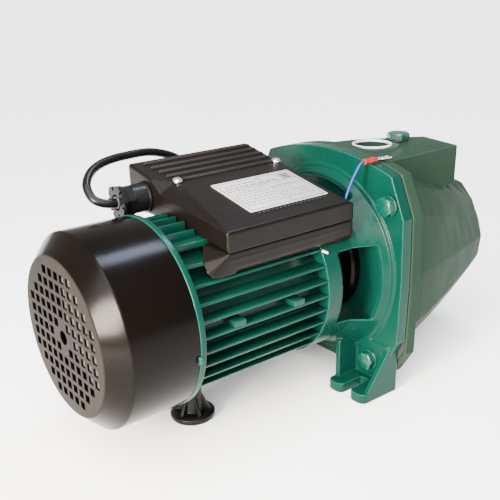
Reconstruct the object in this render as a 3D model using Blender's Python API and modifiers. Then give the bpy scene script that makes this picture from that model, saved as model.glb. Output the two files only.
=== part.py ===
"""Shallow well jet pump: finned motor, lantern bracket, jet casing and terminal box.

Lengths in this file are millimetres; MM turns them into metres. x is a station along the shaft,
measured from the fan cover's flat face towards the pump's nose. y is sideways and z is up.
A root empty shifts the stations, so that the origin is on the floor at the middle of the pump.
"""
import math

import bmesh
import bpy
from mathutils import Matrix, Vector

MM = 0.001
GAP = 0.3                       # air between two pieces that touch
SHAFT_Z = 107.0                 # shaft height over the floor

COVER_R = 76.0                  # fan cover
COVER_FACE_R = 62.0
COVER_CHAMFER_X = 14.3
COVER_END_X = 68.0
COVER_WALL = 1.6
GRILLE_PITCH = 9.6
GRILLE_HOLE = 6.4
GRILLE_R = 55.7
TOP_FIN_END_X = 86.0

SHIELD_RIM = (68.3, 73.4)       # visible ring of the rear end shield
HOUSING = (73.7, 197.0)         # finned tube
FIN_R = 71.0
FIN_ROOT_R = 60.0
FIN_PITCH = 12.2
FIN_HALF = 1.2
BORE_R = 57.3
STATOR_R = 57.0
ROTOR_R = 33.4
PAD_Z = 60.6                    # flat for the terminal box, over the shaft

SHAFT_R = 6.0
BEARING_R = 16.0
BRACKET_START_X = 197.3
FLANGE = (258.0, 268.6)         # bracket flange
GASKET = (268.9, 269.9)
CASE_FLANGE = (270.2, 282.0)
NOSE_X = 425.0
BOSS_X = 433.0
MID_X = BOSS_X / 2              # the origin's station
LANTERN_R = 71.0                # at the motor, under the terminal box
LANTERN_FLARE_R = 83.0          # at the flange
LANTERN_WALL = 5.0

FOOT_OUT_Y = 85.0
FOOT_IN_Y = 40.0
FOOT_TIP_X = 226.0
FOOT_THICK = 9.0
SLOT_Y = 62.5
SLOT_W = 9.5
SLOT_END_X = 247.0
BOLTS = ((-77.0, 172.0), (77.0, 172.0), (-63.0, 27.0), (63.0, 27.0))
BOLT_R = 4.0
BOLT_AF = 13.0

PORT = (316.0, 0.0)             # discharge port on top
PLUG = (351.0, 0.0)             # priming plug
TOP_Z = 200.5                   # flat top of the casing
THREAD_R = 16.6                 # G1 thread, outside radius
G14_R = 6.6                     # G1/4 thread, outside radius
DRAIN_Z = 62.0
HEX_HEIGHT = 5.8                # plug heads

BOX_X = (102.5, 228.0)          # terminal box
BOX_Y = (-66.0, 70.0)
BOX_WALL = 2.5
LID_BACK_Z = 207.0
LID_SLOPE = 0.2
LID_RIM_Z = 170.0
LID_FRONT_RIM_Z = 164.0
LID_SCREWS = ((119.8, 23.0), (221.0, 23.0))
GLAND = (45.0, 184.0)           # y and z of the cable gland's axis

FOOT_X = 105.7                  # rear foot
FOOT_DISC_R = 19.0

CORD_R = 3.5
COIL_CENTRE = (340.0, 168.0)
COIL_R = 38.0                   # at the middle of the turns
COIL_HALF = 7.2
# Corners of the terminal box base's rounded end, which hangs beside the fins.
BASE_BULGE = [
    (104, -40, 166.8), (98, -40, 166.5), (88, -54, 157.5), (87, -60, 151.5), (90, -63, 147.5),
    (96, -64.5, 146.5), (110, -64.5, 146.5), (110, -65.8, 150), (110, -65.8, 163.3),
    (104, -65.8, 163.3), (110, -40, 166.8)]
COIL_JOIN = (43.5, 26.5)        # where the cord's runs meet the coil, sideways and back from its centre
PLUG_START = (419.2, 151.0, 15.5)
LEAD_R = 1.2
TERMINAL = (250.0, -53.5, 204.9)  # start of the earth lead's crimp, over the flange
END_GAP = 1.2                   # from a cord's flat end to the coil's round side

COL = bpy.data.collections
MATERIALS = {
    "enamel_green": ((0.012, 0.125, 0.088), 0.30, 0.0),
    "casing_green": ((0.055, 0.120, 0.078), 0.42, 0.0),
    "gloss_black": ((0.010, 0.010, 0.011), 0.12, 0.0),
    "box_plastic": ((0.022, 0.018, 0.016), 0.45, 0.0),
    "foot_plastic": ((0.012, 0.012, 0.013), 0.40, 0.0),
    "label_silver": ((0.62, 0.60, 0.60), 0.35, 0.2),
    "zinc_steel": ((0.70, 0.70, 0.68), 0.28, 1.0),
    "shaft_steel": ((0.55, 0.55, 0.56), 0.25, 1.0),
    "lamination": ((0.18, 0.18, 0.19), 0.55, 0.8),
    "copper_enamel": ((0.45, 0.16, 0.05), 0.40, 0.6),
    "brass": ((0.72, 0.50, 0.20), 0.30, 1.0),
    "noryl": ((0.04, 0.04, 0.045), 0.45, 0.0),
    "rubber": ((0.015, 0.015, 0.015), 0.75, 0.0),
    "ceramic": ((0.75, 0.73, 0.68), 0.30, 0.0),
    "white_plastic": ((0.82, 0.84, 0.82), 0.35, 0.0),
    "cord_black": ((0.014, 0.014, 0.016), 0.40, 0.0),
    "lead_blue": ((0.010, 0.10, 0.45), 0.35, 0.0),
    "sleeve_red": ((0.65, 0.015, 0.03), 0.35, 0.0),
    "tin": ((0.72, 0.72, 0.70), 0.25, 1.0),
}


# ---------------------------------------------------------------- scene and helpers

def clear_scene():
    for obj in list(bpy.data.objects):
        bpy.data.objects.remove(obj, do_unlink=True)
    for name in ("shallow_well_jet_pump", "cutters"):
        if name not in COL:
            bpy.context.scene.collection.children.link(COL.new(name))


def material(slot):
    if slot in bpy.data.materials:
        return bpy.data.materials[slot]
    colour, rough, metal = MATERIALS[slot]
    mat = bpy.data.materials.new(slot)
    mat.use_nodes = True
    shader = mat.node_tree.nodes["Principled BSDF"]
    shader.inputs["Base Color"].default_value = (*colour, 1.0)
    shader.inputs["Roughness"].default_value = rough
    shader.inputs["Metallic"].default_value = metal
    mat.diffuse_color = (*colour, 1.0)
    return mat


def add_object(name, mesh, slot=None):
    """Link a mesh as an object under the root; without a slot it is a cutter or a joined shape."""
    obj = bpy.data.objects.new(name, mesh)
    part = slot is not None
    COL["shallow_well_jet_pump" if part else "cutters"].objects.link(obj)
    obj.parent = ROOT
    if part:
        mesh.materials.append(material(slot))
    else:
        obj.hide_render = True
        obj.display_type = "WIRE"
    return obj


def mesh_from(bm, name, smooth_deg=None):
    bmesh.ops.recalc_face_normals(bm, faces=bm.faces)
    mesh = bpy.data.meshes.new(name)
    bm.to_mesh(mesh)
    bm.free()
    if smooth_deg:
        mesh.shade_smooth()
        mesh.set_sharp_from_angle(angle=math.radians(smooth_deg))
    return mesh


def box(name, lo, hi, slot=None, bevel=0.0):
    bm = bmesh.new()
    size = [(b - a) * MM for a, b in zip(lo, hi)]
    mid = [(a + b) * MM / 2 for a, b in zip(lo, hi)]
    bmesh.ops.create_cube(bm, size=1.0, matrix=Matrix.Diagonal((*size, 1.0)))
    obj = add_object(name, mesh_from(bm, name), slot)
    obj.location = mid
    if bevel:
        round_edges(obj, bevel)
    return obj


def round_edges(obj, width, segments=1):
    mod = obj.modifiers.new("round", "BEVEL")
    mod.width = width * MM
    mod.segments = segments
    mod.limit_method = "ANGLE"
    mod.angle_limit = math.radians(40)
    return mod


AXIS_TURN = {"X": (0.0, math.pi / 2, 0.0), "Y": (-math.pi / 2, 0.0, 0.0), "Z": (0.0, 0.0, 0.0)}


def rod(name, r, start, length, axis="X", slot=None, sides=32, r_end=None):
    """A cylinder, cone or hex bar from a start point along +X, +Y or +Z."""
    bm = bmesh.new()
    shift = Matrix.Translation((0.0, 0.0, length * MM / 2))
    bmesh.ops.create_cone(bm, cap_ends=True, segments=sides, radius1=r * MM,
                          radius2=(r if r_end is None else r_end) * MM, depth=length * MM, matrix=shift)
    obj = add_object(name, mesh_from(bm, name, 40), slot)
    obj.rotation_euler = AXIS_TURN[axis]
    obj.location = Vector(start) * MM
    return obj


def turned(name, profile, slot=None, axis="X", centre=(0.0, 0.0, SHAFT_Z), steps=32):
    """A body of revolution. The profile is a list of (station, radius) and may close on itself."""
    ring = [(r, s) for s, r in profile]
    area = sum(a[0] * b[1] - b[0] * a[1] for a, b in zip(ring, ring[1:] + ring[:1]))
    if area > 0:
        ring.reverse()
    hollow = min(r for r, _ in ring) > 0
    if not hollow:
        ends = [i for i, p in enumerate(ring) if p[0] == 0]
        first = next(i for i in ends if ring[i - 1][0] == 0)
        ring = ring[first:] + ring[:first]
    bm = bmesh.new()
    verts = [bm.verts.new((r * MM, 0.0, s * MM)) for r, s in ring]
    for a, b in zip(verts, verts[1:]):
        bm.edges.new((a, b))
    if hollow:
        bm.edges.new((verts[-1], verts[0]))
    mesh = bpy.data.meshes.new(name)
    bm.to_mesh(mesh)
    bm.free()
    obj = add_object(name, mesh, slot)
    obj.rotation_euler = AXIS_TURN[axis]
    obj.location = Vector(centre) * MM
    mod = obj.modifiers.new("turn", "SCREW")
    mod.axis = "Z"
    mod.steps = steps
    mod.render_steps = steps
    mod.use_merge_vertices = True
    mod.merge_threshold = 0.00001
    mod.use_smooth_shade = False
    return obj


PLANES = {
    "X": Matrix(((0, 0, 1), (1, 0, 0), (0, 1, 0))).to_4x4(),
    "Y": Matrix(((1, 0, 0), (0, 0, -1), (0, 1, 0))).to_4x4(),
    "Z": Matrix.Identity(4),
}


def plate(name, outlines, span, normal="X", slot=None):
    """Flat outlines, the later ones being holes, extruded over a span of the normal axis."""
    curve = bpy.data.curves.new(name, "CURVE")
    curve.dimensions = "2D"
    curve.fill_mode = "BOTH"
    curve.extrude = (span[1] - span[0]) * MM / 2
    for outline in outlines:
        spline = curve.splines.new("POLY")
        spline.points.add(len(outline) - 1)
        for point, (u, v) in zip(spline.points, outline):
            point.co = (u * MM, v * MM, 0.0, 1.0)
        spline.use_cyclic_u = True
    middle = (span[0] + span[1]) * MM / 2
    shift = {"X": (middle, 0, 0), "Y": (0, middle, 0), "Z": (0, 0, middle)}[normal]
    return add_object(name, meshed(curve, Matrix.Translation(shift) @ PLANES[normal]), slot)


def meshed(curve, matrix=None):
    """A curve as a closed mesh, in the place that the matrix gives."""
    guide = bpy.data.objects.new(curve.name, curve)
    bpy.context.scene.collection.objects.link(guide)
    bpy.context.view_layer.update()
    raw = bpy.data.meshes.new_from_object(guide.evaluated_get(bpy.context.evaluated_depsgraph_get()))
    bpy.data.objects.remove(guide, do_unlink=True)
    bm = bmesh.new()
    bm.from_mesh(raw)
    bpy.data.meshes.remove(raw)
    if matrix is not None:
        bmesh.ops.transform(bm, matrix=matrix, verts=bm.verts)
    bmesh.ops.remove_doubles(bm, verts=bm.verts, dist=0.00001)
    return mesh_from(bm, curve.name)


def tube(name, points, radius, slot, resolution):
    """A round cord through points, smoothed, with a point every few diameters."""
    route = smooth_route([Vector(p) for p in points], 2.4 * 2 * radius)
    curve = bpy.data.curves.new(name, "CURVE")
    curve.dimensions = "3D"
    curve.bevel_depth = radius * MM
    curve.bevel_resolution = resolution
    curve.use_fill_caps = True
    spline = curve.splines.new("POLY")
    spline.points.add(len(route) - 1)
    for point, place in zip(spline.points, route):
        point.co = (*(place * MM), 1.0)
    return add_object(name, meshed(curve), slot)


def smooth_route(points, step):
    """Points about a step apart on a Catmull-Rom curve through the given points."""
    ends = [2 * points[0] - points[1]] + points + [2 * points[-1] - points[-2]]
    fine = []
    for p0, p1, p2, p3 in zip(ends, ends[1:], ends[2:], ends[3:]):
        for k in range(20):
            t = k / 20
            fine.append(0.5 * (2 * p1 + (p2 - p0) * t + (2 * p0 - 5 * p1 + 4 * p2 - p3) * t * t
                               + (3 * p1 - p0 - 3 * p2 + p3) * t ** 3))
    fine.append(points[-1])
    length = sum((b - a).length for a, b in zip(fine, fine[1:]))
    count = max(2, round(length / step))
    route, walked = [fine[0]], 0.0
    for a, b in zip(fine, fine[1:]):
        walked += (b - a).length
        if walked >= length * len(route) / count and len(route) < count:
            route.append(b)
    return route + [points[-1]]


def boolean(obj, other, operation):
    mod = obj.modifiers.new(operation.lower(), "BOOLEAN")
    mod.operation = operation
    mod.solver = "EXACT"
    mod.object = other
    return obj


def cut(obj, *others):
    for other in others:
        boolean(obj, other, "DIFFERENCE")
    return obj


def join(obj, *others):
    for other in others:
        boolean(obj, other, "UNION")
    return obj


def arc(radius, start_deg, end_deg, count, centre=(0.0, 0.0)):
    turn = [math.radians(start_deg + (end_deg - start_deg) * k / (count - 1)) for k in range(count)]
    return [(centre[0] + radius * math.cos(a), centre[1] + radius * math.sin(a)) for a in turn]


def circle(radius, count=48, centre=(0.0, 0.0)):
    return arc(radius, 0.0, 360.0 * (count - 1) / count, count, centre)


def mirrored(half):
    """A closed outline from its y < 0 half, listed from the top to the bottom."""
    return half + [(-y, z) for y, z in reversed(half) if y != 0]


# ---------------------------------------------------------------- motor

def fan_cover():
    inner = COVER_R - COVER_WALL
    cover = turned("fan_cover", [
        (0.0, 0.0), (0.0, COVER_FACE_R - 1.5), (1.0, COVER_FACE_R), (COVER_CHAMFER_X, COVER_R),
        (COVER_END_X, COVER_R), (COVER_END_X, inner), (COVER_CHAMFER_X + 0.7, inner),
        (COVER_WALL + 0.7, COVER_FACE_R - 1.5), (COVER_WALL, COVER_FACE_R - 3.0), (COVER_WALL, 0.0)],
        "gloss_black", steps=48)
    bm = bmesh.new()
    reach = int(GRILLE_R / GRILLE_PITCH) + 1
    for row in range(-reach, reach + 1):
        for column in range(-reach, reach + 1):
            y, z = column * GRILLE_PITCH, row * GRILLE_PITCH
            if 10.0 < math.hypot(y, z) < GRILLE_R - GRILLE_HOLE / 2:
                place = Matrix.Translation(Vector((0.0, y, z)) * MM)
                size = Matrix.Diagonal((8 * MM, GRILLE_HOLE * MM, GRILLE_HOLE * MM, 1.0))
                bmesh.ops.create_cube(bm, size=1.0, matrix=place @ size)
    holes = add_object("cut_grille", mesh_from(bm, "cut_grille"))
    holes.location.z = SHAFT_Z * MM
    cut(cover, holes, rod("cut_cover_centre", 5.5, (-4, 0, SHAFT_Z), 8, sides=20))


def rear_end_shield():
    turned("rear_end_shield", [
        (SHIELD_RIM[1], COVER_R + 0.4), (SHIELD_RIM[0], COVER_R + 0.4), (SHIELD_RIM[0], 74.0),
        (63.0, 74.0), (63.0, 60.0), (68.0, 56.0), (68.0, 22.0), (59.0, 20.0), (59.0, 8.0),
        (62.6, 8.0), (62.6, BEARING_R + GAP), (SHIELD_RIM[1], BEARING_R + GAP)], "enamel_green", steps=40)


def housing_section():
    """Half of the finned tube's outline: box pad, side fins, then bottom fins."""
    def root(v):
        return -math.sqrt(FIN_ROOT_R ** 2 - v * v)

    def tip(v):
        return -math.sqrt(FIN_R ** 2 - v * v)

    pad_y = tip(PAD_Z) + 1.5
    half = [(0.0, PAD_Z), (pad_y, PAD_Z), (pad_y, PAD_Z - 5.0), (root(PAD_Z - 8.0), PAD_Z - 8.0)]
    for k in range(4, -5, -1):
        z = k * FIN_PITCH
        for edge, inwards in ((z + FIN_HALF, False), (z - FIN_HALF, True)):
            pair = [(root(edge), edge), (tip(edge), edge)]
            half += reversed(pair) if inwards else pair
    for k in (-2, -1, 0):
        y = k * FIN_PITCH
        pair = [(y - FIN_HALF, root(y - FIN_HALF)), (y - FIN_HALF, tip(y - FIN_HALF))]
        half += pair
        if k == 0:
            break
        half += [(y + FIN_HALF, tip(y + FIN_HALF)), (y + FIN_HALF, root(y + FIN_HALF))]
    return [(y, z + SHAFT_Z) for y, z in mirrored(half)]


def motor_housing():
    bore = circle(BORE_R, 40, (0.0, SHAFT_Z))
    housing = plate("motor_housing", [housing_section(), bore], HOUSING, "X", "enamel_green")
    for k in range(-2, 3):
        y = k * FIN_PITCH
        top = SHAFT_Z + math.sqrt(FIN_R ** 2 - y * y)
        join(housing, box("join_top_fin_%d" % k, (HOUSING[0] + 0.2, y - FIN_HALF, SHAFT_Z + FIN_ROOT_R - 1.0),
                          (TOP_FIN_END_X, y + FIN_HALF, top)))


def stator():
    turned("stator_core", [(180.0, STATOR_R), (95.0, STATOR_R), (95.0, ROTOR_R + 0.6),
                           (180.0, ROTOR_R + 0.6)], "lamination")
    for name, lo, hi in (("winding_rear", 80.0, 94.7), ("winding_front", 180.3, 195.0)):
        turned(name, [(hi - 3, 53.0), (lo + 3, 53.0), (lo, 50.0), (lo, 37.0), (hi, 37.0), (hi, 50.0)],
               "copper_enamel", steps=24)


def bearing(label, x):
    width = 10.0
    turned(label + "_outer", [(x + width, BEARING_R), (x, BEARING_R), (x, 12.6), (x + width, 12.6)],
           "shaft_steel", steps=24)
    turned(label + "_inner", [(x + width, 9.6), (x, 9.6), (x, SHAFT_R + GAP), (x + width, SHAFT_R + GAP)],
           "shaft_steel", steps=24)


def rotor():
    turned("shaft", [(300.0, 0.0), (300.0, SHAFT_R - 1), (299.0, SHAFT_R), (195.0, SHAFT_R), (195.0, 8.0),
                     (78.0, 8.0), (78.0, SHAFT_R), (23.0, SHAFT_R), (22.0, SHAFT_R - 1), (22.0, 0.0)],
           "shaft_steel", steps=24)
    turned("rotor_core", [(180.0, ROTOR_R), (95.0, ROTOR_R), (95.0, 8.0 + GAP), (180.0, 8.0 + GAP)],
           "lamination")


def fan():
    wheel = turned("fan", [(50.0, 10.0), (30.0, 10.0), (30.0, 16.0), (28.0, 58.0), (26.0, 58.0),
                           (26.0, SHAFT_R + GAP), (50.0, SHAFT_R + GAP)], "noryl", steps=24)
    bm = bmesh.new()
    count = 8
    for k in range(count):
        blade = Matrix.Rotation(2 * math.pi * k / count, 4, "X") @ Matrix.Translation(
            Vector((37.0, 0.0, 32.5)) * MM) @ Matrix.Diagonal((20 * MM, 2.4 * MM, 48 * MM, 1.0))
        bmesh.ops.create_cube(bm, size=1.0, matrix=blade)
    blades = add_object("join_fan_blades", mesh_from(bm, "join_fan_blades"))
    blades.location.z = SHAFT_Z * MM
    join(wheel, blades)


def rear_foot():
    foot = turned("rear_foot", [
        (35.4, 0.0), (35.4, 11.0), (30.0, 11.0), (26.0, 8.0), (6.0, 9.0), (6.0, FOOT_DISC_R - 1),
        (5.0, FOOT_DISC_R), (1.0, FOOT_DISC_R), (0.0, FOOT_DISC_R - 1), (0.0, 0.0)],
        "foot_plastic", "Z", (FOOT_X, 0.0, 0.0), 24)
    rib = [(-16.0, 5.0), (16.0, 5.0), (6.0, 26.0), (-6.0, 26.0)]
    for k, normal in enumerate(("X", "Y")):
        web = plate("join_foot_rib_%d" % k, [rib], (-1.5, 1.5), normal)
        web.location.x = FOOT_X * MM
        join(foot, web)


# ---------------------------------------------------------------- bracket

def flange_top():
    """The y < 0 half of both flanges' outline, from the top arch to the side."""
    top, side_y, side_z = 208.0, -77.0, 195.0
    radius = (side_y ** 2 + (top - side_z) ** 2) / (2 * (top - side_z))
    sweep = math.degrees(math.asin(-side_y / radius))
    return arc(radius, 90.0, 90.0 + sweep, 6, (0.0, top - radius)) + [(-92.0, 162.0), (-93.5, 108.0)]


def bracket_flange():
    half = flange_top() + [(-92.0, 52.0), (-FOOT_OUT_Y, 38.0), (-FOOT_OUT_Y, 0.0), (-FOOT_IN_Y, 0.0),
                           (-FOOT_IN_Y, 14.0), (0.0, 14.0)]
    return plate("motor_bracket", [mirrored(half)], FLANGE, "X", "enamel_green")


def lantern():
    """The flared tube between motor and flange, with the front bearing's wall."""
    return turned("join_lantern", [
        (FLANGE[0] + 3, LANTERN_FLARE_R), (FLANGE[0] - 2, LANTERN_FLARE_R), (230.0, LANTERN_R),
        (BRACKET_START_X, LANTERN_R), (BRACKET_START_X, BORE_R), (204.0, 52.0), (204.0, 22.0),
        (BRACKET_START_X, 20.0), (BRACKET_START_X, BEARING_R + GAP), (209.0, BEARING_R + GAP),
        (209.0, 9.0), (212.0, 9.0), (212.0, LANTERN_R - LANTERN_WALL),
        (230.0, LANTERN_R - LANTERN_WALL), (FLANGE[0] - 2, LANTERN_FLARE_R - LANTERN_WALL),
        (FLANGE[0] + 3, LANTERN_FLARE_R - LANTERN_WALL)], steps=40)


def foot_shapes(side):
    """Plate, outer gusset and inner web of one foot; side is -1 or 1."""
    outer, inner = side * FOOT_OUT_Y, side * FOOT_IN_Y
    tag = "near" if side < 0 else "far"
    back_x = FLANGE[0] + 3
    lo, hi = sorted((outer, inner))
    base = box("join_foot_plate_" + tag, (FOOT_TIP_X, lo, 0), (back_x, hi, FOOT_THICK))
    gusset = [(234.0, 4.0), (back_x, 4.0), (back_x, 46.0), (257.0, 42.0), (234.0, FOOT_THICK)]
    web = [(237.0, 4.0), (back_x, 4.0), (back_x, 56.0), (237.0, 42.0)]
    outer_span = sorted((outer, outer - side * 5.0))
    inner_span = sorted((inner, inner + side * 5.0))
    return [base, plate("join_gusset_" + tag, [gusset], outer_span, "Y"),
            plate("join_web_" + tag, [web], inner_span, "Y")]


def motor_bracket():
    body = bracket_flange()
    join(body, lantern())
    for side in (-1, 1):
        join(body, *foot_shapes(side))
        slot = SLOT_W / 2
        y = side * SLOT_Y
        lo = FOOT_TIP_X - 5
        tag = "near" if side < 0 else "far"
        cut(body, box("cut_slot_" + tag, (lo, y - slot, -5), (SLOT_END_X, y + slot, FOOT_THICK + 5)),
            rod("cut_slot_end_" + tag, slot, (SLOT_END_X, y, -5), FOOT_THICK + 10, "Z", sides=20))
    window_z = 31.0
    cut(body,
        box("cut_side_window", (213.0, -110, SHAFT_Z - window_z), (250.0, 110, SHAFT_Z + window_z)),
        box("cut_top_window", (231.5, -42, SHAFT_Z + 45), (251.0, 42, 220)),
        box("cut_drain_window", (216.0, -26, -5), (250.0, 26, SHAFT_Z - 45)),
        box("cut_box_seat", (190.0, -90, SHAFT_Z + PAD_Z), (230.0, 90, 220)),
        rod("cut_seal_hole", 9.0, (250, 0, SHAFT_Z), 30, sides=32),
        rod("cut_seal_pocket", 14.0, (262, 0, SHAFT_Z), 20, sides=32))
    for k, (y, z) in enumerate(BOLTS):
        cut(body, rod("cut_bolt_%d" % k, BOLT_R + 0.4, (250, y, z), 30, sides=16))


def flange_bolts():
    for k, (y, z) in enumerate(BOLTS, 1):
        head = rod("flange_bolt_%d" % k, BOLT_AF / math.sqrt(3), (FLANGE[0] - GAP - 6, y, z), 6,
                   slot="enamel_green", sides=6)
        join(head, rod("join_bolt_shank_%d" % k, BOLT_R, (FLANGE[0] - 3, y, z), 25.5, sides=16))


def flinger():
    turned("flinger", [(238.0, 30.0), (235.5, 30.0), (235.5, 9.0), (233.0, 9.0), (233.0, SHAFT_R + GAP),
                       (242.0, SHAFT_R + GAP), (242.0, 9.0), (238.0, 9.0)], "rubber", steps=24)


# ---------------------------------------------------------------- pump end

FLANGE_SECTION = [(0.0, 90.0), (-40.0, 88.0), (-74.0, 76.0), (-86.0, 53.0), (-89.0, 1.0),
                  (-85.0, -50.0), (-68.0, -77.0), (-38.0, -87.0), (0.0, -90.0)]
NOSE_SECTION = [(0.0, 50.0), (-22.0, 45.0), (-36.0, 31.0), (-46.0, 12.0), (-51.0, -4.0),
                (-49.0, -24.0), (-39.0, -42.0), (-21.0, -54.0), (0.0, -58.0)]


def barrel_section(t, inset):
    """The barrel's outline at a share t of the way from flange to nose, moved in by a wall."""
    bulge = 1.0 + 0.16 * t * (1.0 - t)
    ring = []
    for (y0, z0), (y1, z1) in zip(FLANGE_SECTION, NOSE_SECTION):
        y, z = (y0 + (y1 - y0) * t) * bulge, (z0 + (z1 - z0) * t) * bulge
        scale = 1.0 - inset / math.hypot(y, z)
        ring.append((y * scale, z * scale))
    return mirrored(ring)


def barrel(name, start, end, inset, slot=None):
    """A loft between unlike outlines, which no primitive or modifier makes."""
    bm = bmesh.new()
    rings = []
    count = 5
    for k in range(count):
        x = start + (end - start) * k / (count - 1)
        t = min(max((x - CASE_FLANGE[1]) / (NOSE_X - CASE_FLANGE[1]), 0.0), 1.0)
        rings.append([bm.verts.new(Vector((x, y, z + SHAFT_Z)) * MM) for y, z in barrel_section(t, inset)])
    for ring, after in zip(rings, rings[1:]):
        size = len(ring)
        for i in range(size):
            bm.faces.new((ring[i], ring[(i + 1) % size], after[(i + 1) % size], after[i]))
    bm.faces.new(rings[0])
    bm.faces.new(rings[-1])
    return add_object(name, mesh_from(bm, name), slot)


def pump_casing():
    body = barrel("pump_casing", CASE_FLANGE[1] - 3, NOSE_X, 0.0, "casing_green")
    half = flange_top() + [(-92.0, 37.0), (-78.0, 14.0), (0.0, 10.0)]
    block = [(CASE_FLANGE[1] - 3, -52.0), (376.0, -50.0), (386.0, -2.0), (374.0, 6.0), (327.0, 34.0),
             (300.0, 42.0), (CASE_FLANGE[1] - 3, 44.0)]
    join(body, plate("join_case_flange", [mirrored(half)], CASE_FLANGE),
         plate("join_top_block", [block], (165.0, TOP_Z), "Z"),
         rod("join_port_boss", 25.0, (PORT[0], PORT[1], TOP_Z - 15), 16.2, "Z"),
         rod("join_suction_boss", 26.0, (NOSE_X - 15, 0, SHAFT_Z), 15 + BOSS_X - NOSE_X),
         rod("join_drain_boss", 11.0, (NOSE_X - 25, 0, DRAIN_Z), 24.5, sides=24))
    cut(body, barrel("cut_chamber", CASE_FLANGE[1] + 12, NOSE_X - 9, 7.0),
        rod("cut_diffuser_seat", 62.4, (CASE_FLANGE[0] - 5, 0, SHAFT_Z), 38, sides=48),
        rod("cut_discharge", THREAD_R, (PORT[0], PORT[1], 160), 60, "Z"),
        rod("cut_suction", THREAD_R, (NOSE_X - 20, 0, SHAFT_Z), 50),
        rod("cut_prime_hole", G14_R + 0.3, (PLUG[0], PLUG[1], 160), 60, "Z", sides=20),
        rod("cut_drain_hole", G14_R + 0.3, (NOSE_X - 25, 0, DRAIN_Z), 50, sides=20))
    for k, (y, z) in enumerate(BOLTS):
        cut(body, rod("cut_case_bolt_%d" % k, BOLT_R + 0.4, (CASE_FLANGE[0] - 5, y, z), 16, sides=16))


def casing_gasket():
    half = [(y * 0.985, SHAFT_Z + (z - SHAFT_Z) * 0.985) for y, z in
            flange_top() + [(-92.0, 40.0), (-78.0, 17.0), (0.0, 15.0)]]
    holes = [circle(BOLT_R + 0.8, 12, b) for b in BOLTS]
    plate("casing_gasket", [mirrored(half), circle(65.0, 32, (0.0, SHAFT_Z))] + holes, GASKET, "X", "rubber")


def seals():
    turned("seal_seat", [(268.3, 13.7), (262.3, 13.7), (262.3, SHAFT_R + 0.8), (268.3, SHAFT_R + 0.8)],
           "ceramic", steps=24)
    turned("seal_rotating", [(277.6, 10.5), (271.0, 10.5), (271.0, 8.5), (268.6, 8.5),
                             (268.6, SHAFT_R + GAP), (277.6, SHAFT_R + GAP)], "rubber", steps=24)


def impeller():
    wheel = turned("impeller", [(291.5, 11.0), (281.5, 11.0), (281.5, 58.0), (279.0, 58.0), (279.0, 12.0),
                                (277.9, 12.0), (277.9, SHAFT_R + GAP), (291.5, SHAFT_R + GAP)],
                   "noryl")
    front = turned("join_impeller_front", [(290.0, 20.0), (290.0, 24.0), (288.5, 58.0), (287.0, 58.0),
                                           (287.0, 20.0)])
    bm = bmesh.new()
    count = 6
    for k in range(count):
        vane = Matrix.Rotation(2 * math.pi * k / count, 4, "X") @ Matrix.Translation(
            Vector((284.3, 9.0, 35.0)) * MM) @ Matrix.Rotation(0.45, 4, "X") @ Matrix.Diagonal(
            (6.6 * MM, 2.2 * MM, 40 * MM, 1.0))
        bmesh.ops.create_cube(bm, size=1.0, matrix=vane)
    vanes = add_object("join_vanes", mesh_from(bm, "join_vanes"))
    vanes.location.z = SHAFT_Z * MM
    join(wheel, vanes, front)
    nut = rod("impeller_nut", 8.5, (291.8, 0, SHAFT_Z), 6.5, slot="brass", sides=6)
    cut(nut, rod("cut_impeller_nut", SHAFT_R + GAP, (285, 0, SHAFT_Z), 20))


def hydraulics():
    turned("diffuser", [(302.0, 62.0), (270.6, 62.0), (270.6, 60.0), (294.5, 60.0), (294.5, 15.0),
                        (302.0, 15.0)], "noryl")
    turned("venturi_tube", [(302.3, 22.0), (306.0, 22.0), (306.0, 15.0), (375.0, 11.5), (392.0, 14.0),
                            (392.0, 12.0), (375.0, 6.0), (302.3, 12.0)], "noryl", steps=20)
    turned("ejector_nozzle", [(396.0, 4.5), (405.0, 9.0), (405.0, 15.5), (410.0, 15.5), (410.0, 7.5),
                              (404.0, 6.0), (396.0, 3.0)], "brass", steps=20)


def hex_plug(name, centre, axis, head_start, slot, stem):
    """A hex-headed G1/4 plug with its washer; the thread runs down the -axis."""
    x, y, z = centre
    sign = Vector((1, 0, 0)) if axis == "X" else Vector((0, 0, 1))
    base = Vector((x, y, z)) + sign * head_start
    washer_height = 1.5
    profile = [(head_start + GAP, 9.2), (head_start + GAP, G14_R + 0.4),
               (head_start + GAP + washer_height, G14_R + 0.4), (head_start + GAP + washer_height, 9.2)]
    turned(name + "_washer", profile, "rubber", axis, centre, 24)
    head_at = base + sign * (2 * GAP + washer_height)
    head = rod(name, 19.0 / math.sqrt(3), head_at, HEX_HEIGHT, axis, slot, 6)
    join(head, rod("join_" + name, G14_R, head_at - sign * stem, stem + 2, axis, sides=20))


def plugs_and_ring():
    hex_plug("priming_plug", (PLUG[0], PLUG[1], 0.0), "Z", TOP_Z, "enamel_green", 12.0)
    hex_plug("drain_plug", (0.0, 0.0, DRAIN_Z), "X", NOSE_X, "zinc_steel", 12.0)
    turned("discharge_port_ring", [
        (203.4, 18.4), (202.0, 18.6), (202.0, THREAD_R - 0.3), (192.0, THREAD_R - 0.3), (192.0, 14.6),
        (203.4, 14.6)], "white_plastic", "Z", (PORT[0], PORT[1], 0.0), 24)


# ---------------------------------------------------------------- terminal box

def lid_z(y):
    return LID_BACK_Z - LID_SLOPE * (BOX_Y[1] - y)


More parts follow.
